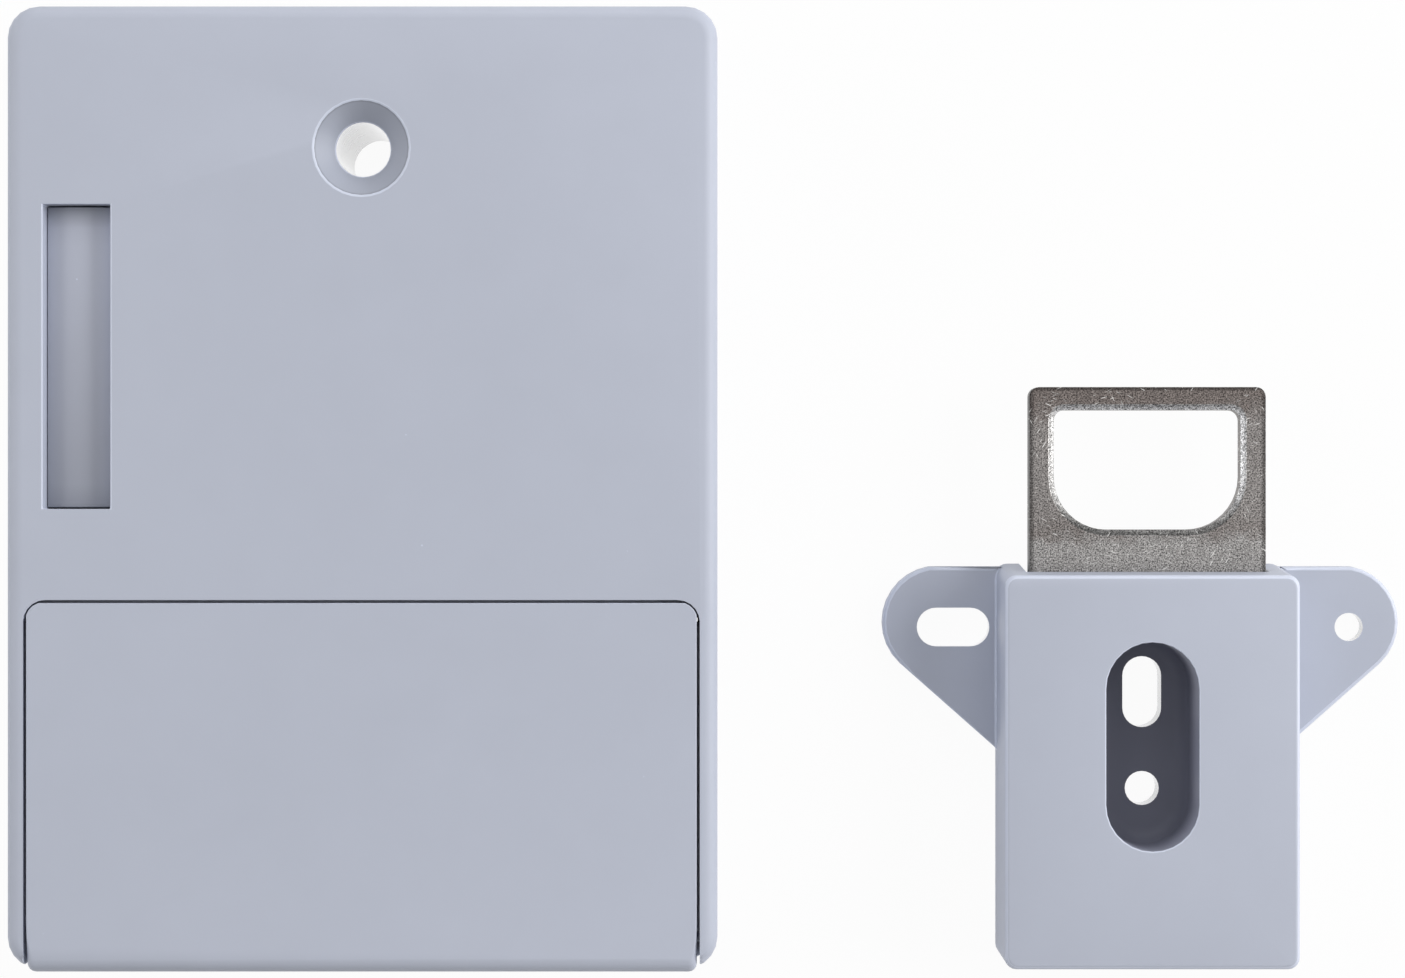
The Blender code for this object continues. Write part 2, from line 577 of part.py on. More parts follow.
def make_strike_plate():
    """Steel plate: two legs in the housing and a window, bevelled at the front, for the bolt."""
    half = PLATE_WIDTH / 2
    notch = fork(half, PLATE_LOW, PLATE_END, WELL_HALF + GAP, WELL_TOP + GAP)[:6]
    corner = PLATE_CORNER
    outline = (notch + arc(half - corner, PLATE_END - corner, corner, 0, 90, CORNER_STEPS)
               + arc(corner - half, PLATE_END - corner, corner, 90, 180, CORNER_STEPS))
    plate = place("strike_plate", prism(outline, PLATE_BOTTOM, PLATE_TOP), STRIKE_FRAME, (0, 0, 0), STEEL)
    top = PLATE_END - PLATE_TIP
    low = top - WINDOW_LENGTH
    side = WINDOW_WIDTH / 2
    levels = [(0, PLATE_BOTTOM - OVERCUT), (0, PLATE_TOP - WINDOW_BEVEL), (WINDOW_BEVEL, PLATE_TOP),
              (WINDOW_BEVEL, PLATE_TOP + OVERCUT)]
    rings = [at_height(rounded(-side - out, low - out, side + out, top + out, WINDOW_LOW_RADIUS + out,
                               WINDOW_TOP_RADIUS + out, WINDOW_STEPS), height) for out, height in levels]
    cut(plate, loft(rings))
    for sign in (-1, 1):
        cut(plate, prism(circle(STRIKE_SCREW_DIAMETER / 2 + GAP, sign * LEG_X, LEG_SCREW_Y, 16),
                         PLATE_BOTTOM - OVERCUT, PLATE_TOP + OVERCUT))


def make_strike_insert():
    """Back insert that closes the pocket and holds the legs up with two posts and a tab."""
    low = PLATE_LOW
    high = STRIKE_TOP - STRIKE_TOP_DRAFT
    floor = GAP
    top = floor + INSERT_THICKNESS
    support = PLATE_BOTTOM - GAP
    outline = fork(PLATE_WIDTH / 2, low, high, WELL_HALF + GAP, WELL_TOP + GAP)
    insert = place("strike_back_insert", prism(outline, floor, top), STRIKE_FRAME, (0, 0, 0), CASE_PLASTIC)
    half = PLATE_WIDTH / 2
    join(insert, box(-half, high - INSERT_THICKNESS, top - SINK, half, high, support))
    for side in (-1, 1):
        x = side * LEG_X
        join(insert, prism(circle(STRIKE_SCREW_HEAD / 2, x, LEG_SCREW_Y, 16), top - SINK, support))
        cut(insert, prism(circle(STRIKE_SCREW_DIAMETER / 2 + GAP, x, LEG_SCREW_Y, 16), -OVERCUT,
                          support + OVERCUT))
        cut(insert, prism(circle(STRIKE_SCREW_HEAD / 2 + GAP, x, LEG_SCREW_Y, 16), -OVERCUT,
                          top - SINK))
        name = "strike_screw_left" if side < 0 else "strike_screw_right"
        head_top = top - SINK - GAP
        shank = STRIKE_SCREW_DIAMETER / 2
        tip = STRIKE_HEIGHT - OVERCUT - GAP
        profile = [(STRIKE_SCREW_HEAD / 2, floor), (STRIKE_SCREW_HEAD / 2, head_top), (shank, head_top),
                   (shank, tip - shank / 2), (shank / 2, tip)]
        place(name, turned(profile, 16), STRIKE_FRAME, (x, LEG_SCREW_Y, 0), STEEL, smooth=True)


def make_case():
    """Front shell: face and side walls, screw post, slot well, corner bosses, divider and cover grooves."""
    rings = [at_height(case_plan(0), 0)]
    rings += [at_height(case_plan(inset), CASE_THICKNESS - drop) for inset, drop in quarter(CASE_FILLET)]
    case = place("case", loft(rings), CASE_FRAME, (0, 0, 0), CASE_PLASTIC)
    cut(case, prism(case_plan(CASE_WALL), -OVERCUT, CASE_CEILING))

    root = CASE_CEILING + SINK
    side = CASE_WIDTH / 2 - CASE_WALL + SINK
    end = CASE_LENGTH / 2 - CASE_WALL + SINK
    join(case, box(WELL_LEFT, SLOT_LOW - SLOT_END_WALL, WELL_FLOOR,
                   WELL_RIGHT, SLOT_HIGH + SLOT_END_WALL, root))
    join(case, prism(circle(HOLE_POST_RADIUS, 0, HOLE_Y), WELL_FLOOR, root))
    join(case, box(-side, DIVIDER_LOW, WELL_FLOOR, side, DIVIDER_HIGH, COVER_UNDER - GAP))
    join(case, box(-side, COVER_TOP + GAP, COVER_UNDER - 2 * GAP, side, DIVIDER_HIGH, root))
    for x, y in BOSSES.values():
        join(case, prism(circle(BOSS_RADIUS, x, y, 16), WELL_FLOOR, root))
        near, far = sorted((x, math.copysign(side, x)))
        join(case, box(near, y - SINK, WELL_FLOOR + GAP, far, y + SINK, root))
        if y == BOSS_HIGH_Y:
            join(case, box(x - SINK, y, WELL_FLOOR + GAP, x + SINK, end, root))

    slot = [(SLOT_X - SLOT_WIDTH / 2, SLOT_LOW), (SLOT_RIGHT, SLOT_LOW), (SLOT_RIGHT, SLOT_HIGH),
            (SLOT_X - SLOT_WIDTH / 2, SLOT_HIGH)]
    cut(case, prism(slot, -OVERCUT, CASE_THICKNESS + OVERCUT))
    pocket = EJECTOR_LUG + 2 * GAP
    cut(case, box(SLOT_X - SLOT_WIDTH / 2 + GAP, SLOT_LOW - pocket, -OVERCUT,
                  SLOT_RIGHT - GAP, SLOT_HIGH + pocket, LUG_TOP + GAP))
    bolt_room = BOLT_WIDTH / 2 + GAP
    cut(case, box(SLOT_RIGHT - OVERCUT, SLOT_Y - bolt_room, BOLT_BOTTOM - GAP,
                  WELL_RIGHT + OVERCUT, SLOT_Y + bolt_room, BOLT_TOP + GAP))

    sink_depth = (HOLE_SINK_DIAMETER - HOLE_DIAMETER) / 2
    through = turned([(HOLE_DIAMETER / 2, -OVERCUT), (HOLE_DIAMETER / 2, CASE_THICKNESS - sink_depth),
                      (HOLE_SINK_DIAMETER / 2 + OVERCUT, CASE_THICKNESS + OVERCUT)], 32)
    cut(case, moved(through, 0, HOLE_Y))
    join(case, prism(circle(MOTOR_RIB_RADIUS, *MOTOR, 16), MOTOR_CAP_TOP + GAP, root))
    for at in BOSSES.values():
        cut(case, prism(circle(CASE_SCREW_DIAMETER / 2 + PRESS_FIT, *at, 12), 0,
                        CASE_SCREW_LENGTH + 2 * GAP))

    half = COVER_HALF + GAP
    foot = -CASE_LENGTH / 2 - OVERCUT
    opening = rounded(-half, foot - COVER_CORNER, half, COVER_TOP + GAP, GAP, COVER_CORNER + GAP)
    cut(case, prism(opening, COVER_UNDER - GAP, CASE_THICKNESS + OVERCUT))
    lip_low = CASE_THICKNESS - COVER_LIP - GAP
    cut(case, box(-half, foot, lip_low, half, -CASE_LENGTH / 2 + CASE_WALL + GAP, CASE_THICKNESS))
    reach = COVER_HALF + TONGUE_REACH + GAP
    groove_low = RAIL_FOOT - GAP
    groove_high = RAIL_FOOT + TONGUE_HEIGHT + GAP
    for sign in (-1, 1):
        near, far = sorted((sign * (COVER_HALF - RAIL_WIDTH), sign * reach))
        cut(case, box(near, foot, groove_low, far, RAIL_HIGH + GAP, groove_high))
        near, far = sorted((sign * (COVER_HALF - RAIL_WIDTH - GAP), sign * half))
        cut(case, box(near, foot, groove_low, far, RAIL_HIGH + GAP, CASE_THICKNESS))


def make_back_plate():
    """Flat back that sits inside the walls, with clear holes for the screws and a rest for the frame."""
    plate = place("back_plate", prism(case_plan(CASE_WALL + GAP), 0, BACK_THICKNESS), CASE_FRAME, (0, 0, 0),
                  CASE_PLASTIC)
    cut(plate, prism(circle(HOLE_DIAMETER / 2 + GAP, 0, HOLE_Y), -OVERCUT, BACK_THICKNESS + OVERCUT))
    for name, at in BOSSES.items():
        cut(plate, prism(circle(CASE_SCREW_DIAMETER / 2 + GAP, *at, 12), -OVERCUT,
                         BACK_THICKNESS + OVERCUT))
        cut(plate, prism(circle(CASE_SCREW_HEAD / 2 + GAP, *at, 16), -OVERCUT, BACK_THICKNESS / 2))
        radius = CASE_SCREW_DIAMETER / 2
        profile = [(CASE_SCREW_HEAD / 2, GAP), (CASE_SCREW_HEAD / 2, BACK_THICKNESS / 2 - GAP),
                   (radius, BACK_THICKNESS / 2 - GAP), (radius, CASE_SCREW_LENGTH - radius),
                   (radius / 2, CASE_SCREW_LENGTH)]
        place("case_screw_" + name, turned(profile, 12), CASE_FRAME, (*at, 0), STEEL, smooth=True)
    stand_on_back(plate)


def make_battery_cover():
    """Cover with a lip over the case's end and two rails whose tongues run in the side grooves."""
    lip_foot = CASE_THICKNESS - COVER_LIP
    section = [(COVER_TOP, COVER_UNDER), (COVER_END + COVER_THICKNESS, COVER_UNDER),
               (COVER_END + COVER_THICKNESS, lip_foot), (COVER_END, lip_foot)]
    section += [(COVER_END + inset, CASE_THICKNESS - drop) for inset, drop in quarter(CASE_FILLET)]
    section.append((COVER_TOP, CASE_THICKNESS))
    cover = place("battery_cover",
                  loft([[(x, y, z) for y, z in section] for x in (-COVER_HALF, COVER_HALF)]),
                  CASE_FRAME, (0, 0, 0), CASE_PLASTIC)
    keep = rounded(-COVER_HALF - GAP / 3, COVER_END - GAP, COVER_HALF + GAP / 3, COVER_TOP + GAP / 3,
                   2 * GAP, COVER_CORNER)
    change(cover, prism(keep, 0, CASE_THICKNESS + OVERCUT), "INTERSECT")
    for sign in (-1, 1):
        near, far = sorted((sign * (COVER_HALF - RAIL_WIDTH), sign * COVER_HALF))
        join(cover, box(near, RAIL_LOW, RAIL_FOOT, far, RAIL_HIGH, COVER_UNDER + SINK))
        near, far = sorted((sign * (COVER_HALF - SINK), sign * (COVER_HALF + TONGUE_REACH)))
        join(cover, box(near, RAIL_LOW, RAIL_FOOT, far, RAIL_HIGH, RAIL_FOOT + TONGUE_HEIGHT))


def gear_outline(teeth, addendum, phase):
    """Involute teeth; a flank is radial below the base circle."""
    pitch = teeth * GEAR_MODULE / 2
    base = pitch * math.cos(PRESSURE_ANGLE)
    tip = pitch + addendum * GEAR_MODULE
    root = pitch - TOOTH_DEDENDUM * GEAR_MODULE
    half = math.pi / (2 * teeth) - TOOTH_BACKLASH / (2 * pitch)

    def flank(radius):
        at_pitch = math.acos(base / pitch)
        spread = half + math.tan(at_pitch) - at_pitch
        if radius > base:
            here = math.acos(base / radius)
            spread -= math.tan(here) - here
        return spread

    radii = [root, pitch, tip]
    points = []
    for tooth in range(teeth):
        middle = phase + 2 * math.pi * tooth / teeth
        for side, run in ((-1, radii), (1, list(reversed(radii)))):
            for radius in run:
                angle = middle + side * flank(max(radius, base) if radius == root else radius)
                points.append((radius * math.cos(angle), radius * math.sin(angle)))
    return points


def make_gear(name, at, wheel_floor, wheel_phase, pinion_teeth, pinion_phase, top):
    """A moulded wheel with a pinion on it, bored for its pin."""
    wheel_top = wheel_floor + WHEEL_THICKNESS
    wheel = gear_outline(WHEEL_TEETH, TOOTH_ADDENDUM - WHEEL_TIP_RELIEF, wheel_phase)
    gear = place(name, prism(wheel, wheel_floor, wheel_top), CASE_FRAME, (*at, 0), WHITE_PLASTIC)
    pinion = gear_outline(pinion_teeth, TOOTH_ADDENDUM, pinion_phase)
    join(gear, prism(pinion, wheel_top - SINK, top))
    rim = WHEEL_RADIUS - WHEEL_RIM * GEAR_MODULE
    hub = (pinion_teeth / 2 + HUB_RIM) * GEAR_MODULE
    dish = [at_height(circle(hub), wheel_floor - OVERCUT), at_height(circle(hub), wheel_floor + SINK),
            at_height(circle(rim), wheel_floor + SINK), at_height(circle(rim), wheel_floor - OVERCUT)]
    cut(gear, loft(dish, closed=True))
    cut(gear, prism(circle(GEAR_PIN_DIAMETER / 2 + RUNNING_FIT, steps=16), wheel_floor - OVERCUT,
                    top + OVERCUT))


def make_gears():
    """Two compound gears and the motor's pinion, in mesh at rest."""
    first_line = SECOND_TO_FIRST_ANGLE
    motor_line = FIRST_TO_MOTOR_ANGLE
    opposite = math.pi + math.pi / PINION_TEETH
    make_gear("second_gear", SECOND_GEAR, SECOND_WHEEL_FLOOR, first_line, RACK_PINION_TEETH, math.pi / 2,
              BOLT_TOP)
    make_gear("first_gear", FIRST_GEAR, FIRST_WHEEL_FLOOR, motor_line, PINION_TEETH, first_line + opposite,
              FIRST_GEAR_TOP)
    pinion = gear_outline(PINION_TEETH, TOOTH_ADDENDUM, motor_line + opposite)
    top = FIRST_WHEEL_FLOOR + WHEEL_THICKNESS
    motor_pinion = place("motor_pinion", prism(pinion, FIRST_WHEEL_FLOOR, top), CASE_FRAME, (*MOTOR, 0),
                         NICKEL)
    shaft = circle(GEAR_PIN_DIAMETER / 2, steps=12)
    join(motor_pinion, prism(shaft, top - SINK, MOTOR_FLOOR + MOTOR_HEIGHT / 2))


def make_motor():
    """Steel can with a bearing hole for the shaft, and its plastic end cap."""
    radius = MOTOR_DIAMETER / 2
    edge = SINK
    top = MOTOR_FLOOR + MOTOR_HEIGHT
    profile = [(radius - edge, MOTOR_FLOOR), (radius, MOTOR_FLOOR + edge), (radius, top)]
    can = place("motor_can", turned(profile), CASE_FRAME, (*MOTOR, 0), STEEL, smooth=True)
    cut(can, prism(circle(GEAR_PIN_DIAMETER / 2 + RUNNING_FIT, steps=12), MOTOR_FLOOR - OVERCUT,
                   MOTOR_FLOOR + MOTOR_HEIGHT / 2 + GAP))
    profile = [(radius - edge, MOTOR_CAP_FLOOR), (radius - edge, MOTOR_CAP_TOP - edge),
               (radius - 2 * edge, MOTOR_CAP_TOP)]
    cap = place("motor_end_cap", turned(profile), CASE_FRAME, (*MOTOR, 0), DARK_PLASTIC, smooth=True)
    for side in (-1, 1):
        x = side * (radius + MOTOR_RIB_RADIUS) / 2
        join(cap, box(x - edge / 2, -edge, MOTOR_CAP_TOP - edge, x + edge / 2, edge,
                      MOTOR_CAP_TOP + MOTOR_TERMINAL_HEIGHT))


def rack_teeth():
    """Corners of the rack's teeth from the nose to the tail; a space is over the second gear's axis."""
    slope = math.tan(PRESSURE_ANGLE)
    half = RACK_PITCH / 4 - TOOTH_BACKLASH / 2
    points = []
    for tooth in range(-TEETH_AHEAD, TEETH_BEHIND):
        middle = SECOND_GEAR[0] + (tooth + 0.5) * RACK_PITCH
        root_half = half + slope * (RACK_ROOT - RACK_LINE)
        tip_half = half - slope * (RACK_LINE - RACK_TIP)
        points += [(middle - root_half, RACK_ROOT), (middle - tip_half, RACK_TIP),
                   (middle + tip_half, RACK_TIP), (middle + root_half, RACK_ROOT)]
    return points


def make_bolt():
    """Steel bolt: a wide nose with chamfered corners, and a tail with the rack on its low edge."""
    chamfer = BOLT_NOSE_CHAMFER
    low = SLOT_Y - BOLT_WIDTH / 2
    shoulder = BOLT_TIP + BOLT_NOSE_LENGTH
    outline = [(BOLT_TIP, low + chamfer), (BOLT_TIP + chamfer, low), (shoulder, low), (shoulder, RACK_ROOT)]
    outline += rack_teeth()
    outline += [(BOLT_TAIL, RACK_ROOT), (BOLT_TAIL, BOLT_HIGH), (BOLT_TIP + chamfer, BOLT_HIGH),
                (BOLT_TIP, BOLT_HIGH - chamfer)]
    local = [(x - BOLT_TIP, y - SLOT_Y) for x, y in outline]
    place("bolt", prism(local, BOLT_BOTTOM, BOLT_TOP), CASE_FRAME, (BOLT_TIP, SLOT_Y, 0), STEEL)


def make_ejector():
    """Crown rounded across the slot, on two legs whose lugs stop it in the well."""
    half = SLOT_WIDTH / 2 - GAP
    reach = SLOT_LENGTH / 2 - GAP
    section = [(-half, EJECTOR_UNDER), (half, EJECTOR_UNDER)]
    section += [(x, EJECTOR_TOP - EJECTOR_CROWN * (x / half) ** 2)
                for x in np.linspace(half, -half, CROWN_STEPS + 1)]
    crown = loft([[(x, y, z) for x, z in section] for y in (-reach, reach)])
    ejector = place("ejector", crown, CASE_FRAME, (SLOT_X, SLOT_Y, 0), GREY_PLASTIC, smooth=True)
    for side in (-1, 1):
        near, far = sorted((side * (reach - EJECTOR_LEG_LENGTH), side * reach))
        join(ejector, box(-half, near, EJECTOR_FOOT, half, far, EJECTOR_UNDER + SINK))
        near, far = sorted((side * (reach - SINK), side * (reach + EJECTOR_LUG)))
        join(ejector, box(-half + 2 * GAP, near, EJECTOR_FOOT, half - 2 * GAP, far, LUG_TOP))
        name = "ejector_spring_lower" if side < 0 else "ejector_spring_upper"
        make_spring(name, (SLOT_X, SLOT_Y + side * SPRING_OFFSET), INNER_FLOOR, EJECTOR_UNDER - GAP,
                    SPRING_RADIUS, SPRING_RADIUS, SPRING_WIRE, SPRING_TURNS)


def coil_points(low, high, low_radius, high_radius, wire, turns, steps=COIL_STEPS):
    """Points of an upright coil whose ends lie flat and square to what they meet."""
    count = turns * steps
    points = []
    for i in range(count + 1):
        part = i / count
        angle = 2 * math.pi * turns * part
        radius = low_radius + (high_radius - low_radius) * part
        points.append((radius * math.cos(angle), radius * math.sin(angle),
                       low + wire / 2 + (high - low - wire) * part))
    return points


def self_gap(points, wire, steps=COIL_STEPS):
    """Least clear distance between turns, on points most of a turn apart or more."""
    coil = np.array(points)
    spans = np.linalg.norm(coil[:, None] - coil[None, :], axis=2)
    apart = np.abs(np.subtract.outer(np.arange(len(coil)), np.arange(len(coil)))) > steps * 0.6
    return spans[apart].min() - wire


def make_spring(name, at, low, high, low_radius, high_radius, wire, turns):
    """A coil spring as one unbroken tube."""
    points = coil_points(low, high, low_radius, high_radius, wire, turns)
    print(f"{name}: least gap between its turns {self_gap(points, wire) * 1000:.2f} mm")
    return place(name, tube(points, wire), CASE_FRAME, (*at, 0), NICKEL, smooth=True)


def tube(points, diameter, sides=6):
    """A round tube through points, its rings square to the path, its ends capped."""
    path = np.array(points)
    ahead = np.gradient(path, axis=0)
    ahead /= np.linalg.norm(ahead, axis=1)[:, None]
    across = np.cross(ahead, (0.0, 0.0, 1.0))
    across /= np.linalg.norm(across, axis=1)[:, None]
    over = np.cross(across, ahead)
    angles = [2 * math.pi * k / sides for k in range(sides)]
    rings = [[tuple(p + (a * math.cos(t) + o * math.sin(t)) * diameter / 2) for t in angles]
             for p, a, o in zip(path, across, over)]
    return loft(rings)


def hull(circles, steps=16):
    """Outline round several circles, given as (x, y, radius), going round their points once."""
    points = sorted({point for x, y, radius in circles for point in circle(radius, x, y, steps)})

    def half_way_round(run):
        chain = []
        for point in run:
            while len(chain) > 1:
                (ax, ay), (bx, by) = chain[-2:]
                if (bx - ax) * (point[1] - ay) - (by - ay) * (point[0] - ax) > 1e-12:
                    break
                chain.pop()
            chain.append(point)
        return chain[:-1]

    return half_way_round(points) + half_way_round(points[::-1])


def make_mechanism_frame():
    """Base plate with the bolt's guide and rail, seats for the gears and the motor, and two posts."""
    reach = FRAME_POST_SEAT
    guide_half = BOLT_WIDTH / 2 + GAP + GUIDE_WALL
    corners = [(*POST_LOW, reach), (*POST_HIGH, reach), (*MOTOR, MOTOR_DIAMETER / 2 + GUIDE_WALL / 2),
               (GUIDE_X + reach, SLOT_Y - guide_half + reach, reach),
               (GUIDE_X + reach, BOLT_RAIL_OUTER - reach, reach),
               (BOLT_RAIL_END - reach, BOLT_RAIL_OUTER - reach, reach)]
    base = place("mechanism_frame", prism(hull(corners), INNER_FLOOR, FRAME_TOP), CASE_FRAME, (0, 0, 0),
                 GREY_PLASTIC)
    root = FRAME_TOP - SINK
    join(base, box(GUIDE_X, SLOT_Y - guide_half, root, GUIDE_END, SLOT_Y + guide_half,
                   BOLT_TOP + GAP + GUIDE_WALL))
    join(base, box(GUIDE_END - SINK, BOLT_RAIL_INNER, root, BOLT_RAIL_END, BOLT_RAIL_OUTER,
                   BOLT_BOTTOM - GAP))
    join(base, box(GUIDE_END - SINK, BOLT_HIGH + GAP, root, BOLT_RAIL_END, BOLT_RAIL_OUTER, BOLT_TOP))
    cut(base, box(GUIDE_X - OVERCUT, SLOT_Y - BOLT_WIDTH / 2 - GAP, BOLT_BOTTOM - GAP,
                  GUIDE_END + OVERCUT, BOLT_HIGH + GAP, BOLT_TOP + GAP))
    join(base, prism(circle(MOTOR_DIAMETER / 2, *MOTOR), root, MOTOR_FLOOR - GAP))
    room = WHEEL_ROOM * GEAR_MODULE
    cut(base, prism(circle(PINION_RADIUS + room, *MOTOR), FRAME_TOP, MOTOR_FLOOR + OVERCUT))
    cut(base, prism(circle(WHEEL_RADIUS + room, *FIRST_GEAR), FRAME_TOP, MOTOR_FLOOR + OVERCUT))
    for at, top in ((FIRST_GEAR, FIRST_WHEEL_FLOOR), (SECOND_GEAR, SECOND_WHEEL_FLOOR)):
        join(base, prism(circle(GEAR_SEAT_RADIUS, *at, 16), root, top - GAP))
        cut(base, prism(circle(PIN_SEAT, *at, 16), INNER_FLOOR - OVERCUT, top + OVERCUT))
    for at in (POST_LOW, POST_HIGH):
        join(base, prism(circle(FRAME_POST_DIAMETER / 2, *at, 16), root, POST_TOP))
        cut(base, prism(circle(FRAME_SCREW_DIAMETER / 2 + PRESS_FIT, *at, 12), INNER_FLOOR - OVERCUT,
                        POST_TOP + OVERCUT))


def make_bearing_plate():
    """Steel plate over the gears that holds the tops of both pins, with its two long screws."""
    outline = hull([(*at, BEARING_PLATE_MARGIN) for at in (POST_LOW, POST_HIGH, FIRST_GEAR, SECOND_GEAR)])
    plate = place("bearing_plate", prism(outline, BEARING_FLOOR, BEARING_TOP), CASE_FRAME, (0, 0, 0), STEEL)
    for at in (FIRST_GEAR, SECOND_GEAR):
        cut(plate, prism(circle(PIN_SEAT, *at, 16), BEARING_FLOOR - OVERCUT, BEARING_TOP + OVERCUT))
    shank = FRAME_SCREW_DIAMETER / 2
    for name, at in (("frame_screw_lower", POST_LOW), ("frame_screw_upper", POST_HIGH)):
        cut(plate, prism(circle(shank + PRESS_FIT, *at, 12), BEARING_FLOOR - OVERCUT,
                         BEARING_TOP + OVERCUT))
        head = BEARING_TOP + GAP / 3
        profile = [(shank / 2, FRAME_SCREW_TIP), (shank, FRAME_SCREW_TIP + shank), (shank, head),
                   (2 * shank, head), (2 * shank, head + shank), (shank, head + 3 * shank / 2)]
        place(name, turned(profile, 12), CASE_FRAME, (*at, 0), STEEL, smooth=True)
    radius = GEAR_PIN_DIAMETER / 2
    for name, at in (("first_gear_pin", FIRST_GEAR), ("second_gear_pin", SECOND_GEAR)):
        foot = INNER_FLOOR + GAP
        profile = [(radius - PRESS_FIT, foot), (radius, foot + PRESS_FIT), (radius, BEARING_TOP)]
        place(name, turned(profile, 16), CASE_FRAME, (*at, 0), STEEL, smooth=True)


def stand_on_back(plate):
    """Adds standoffs for the boards, ribs under the tray and pilots for the long screws."""
    root = BACK_THICKNESS - SINK
    near, far = BOARD_X0 + STANDOFF_INSET, BOARD_X1 - STANDOFF_INSET
    low, high = BOARD_Y0 + STANDOFF_INSET, BOARD_Y1 - STANDOFF_INSET
    posts = [(x, y, BOARD_HEIGHT - GAP) for x in (near, far) for y in (low, high)]
    spread = SWITCH_BOARD_LENGTH / 2 - STANDOFF_RADIUS
    posts += [(SWITCH_X, SWITCH_Y + side * spread, SWITCH_BOARD_FOOT - GAP) for side in (-1, 1)]
    for x, y, top in posts:
        join(plate, prism(circle(STANDOFF_RADIUS, x, y, 12), root, top))
    rib = TRAY_WALL / 2
    for side in (-1, 1):
        x = TRAY_X + side * TRAY_HALF * TRAY_RIB_SHARE
        join(plate, box(x - rib, TRAY_Y0 + TRAY_WALL, root, x + rib, TRAY_Y1 - TRAY_WALL, TRAY_FOOT - GAP))
    for at in (POST_LOW, POST_HIGH):
        cut(plate, prism(circle(FRAME_SCREW_DIAMETER / 2 + PRESS_FIT, *at, 12), FRAME_SCREW_TIP - GAP,
                         BACK_THICKNESS + OVERCUT))


def make_electronics():
    """Main board with its chip and buzzer, the antenna coil under it, and the setting switch."""
    board = box(BOARD_X0, BOARD_Y0, BOARD_HEIGHT, BOARD_X1, BOARD_Y1, BOARD_TOP)
    place("circuit_board", board, CASE_FRAME, (0, 0, 0), BOARD_GREEN)
    x = (BOARD_X0 + BOARD_X1) / 2
    seat = BOARD_TOP + GAP / 3
    half = CHIP_SIDE / 2
    y = BOARD_Y0 + CHIP_RISE
    place("control_chip", box(x - half, y - half, seat, x + half, y + half, seat + CHIP_HEIGHT), CASE_FRAME,
          (0, 0, 0), DARK_PLASTIC)
    radius = BUZZER_DIAMETER / 2
    y = BOARD_Y1 - STANDOFF_INSET - radius
    profile = [(radius, seat), (radius, seat + BUZZER_HEIGHT - SINK), (radius - SINK, seat + BUZZER_HEIGHT)]
    buzzer = place("buzzer", turned(profile), CASE_FRAME, (x, y, 0), DARK_PLASTIC, smooth=True)
    top = seat + BUZZER_HEIGHT
    cut(buzzer, prism(circle(radius / 4, steps=12), seat + BUZZER_HEIGHT / 2, top + OVERCUT))

    outer = rounded(-COIL_WIDTH / 2, -COIL_LENGTH / 2, COIL_WIDTH / 2, COIL_LENGTH / 2, COIL_BAND)
    inner = rounded(COIL_BAND - COIL_WIDTH / 2, COIL_BAND - COIL_LENGTH / 2, COIL_WIDTH / 2 - COIL_BAND,
                    COIL_LENGTH / 2 - COIL_BAND, COIL_BAND / 2)
    top = INNER_FLOOR + COIL_THICKNESS
    rings = [at_height(outer, INNER_FLOOR), at_height(outer, top), at_height(inner, top),
             at_height(inner, INNER_FLOOR)]
    middle = (x, (BOARD_Y0 + BOARD_Y1) / 2, 0)
    place("antenna_coil", loft(rings, closed=True), CASE_FRAME, middle, COPPER)

    half_x = (SWITCH_BOARD_X1 - SWITCH_BOARD_X0) / 2
    half_y = SWITCH_BOARD_LENGTH / 2
    at = (SWITCH_X, SWITCH_Y, 0)
    top = SWITCH_BOARD_FOOT + BOARD_THICKNESS
    place("switch_board", box(-half_x, -half_y, SWITCH_BOARD_FOOT, half_x, half_y, top), CASE_FRAME, at,
          BOARD_GREEN)
    half = SWITCH_SIDE / 2
    switch_top = SWITCH_FOOT + SWITCH_HEIGHT
    switch = place("setting_switch", box(-half, -half, SWITCH_FOOT, half, half, switch_top), CASE_FRAME, at,
                   DARK_PLASTIC)
    radius = BUTTON_DIAMETER / 2
    cut(switch, prism(circle(radius + GAP, steps=16), BUTTON_FOOT - BUTTON_TRAVEL - GAP,
                      switch_top + OVERCUT))
    button_top = BUTTON_FOOT + BUTTON_HEIGHT
    profile = [(radius, BUTTON_FOOT), (radius, button_top - GAP), (radius - GAP, button_top)]
    place("setting_button", turned(profile, 16), CASE_FRAME, at, WHITE_PLASTIC, smooth=True)


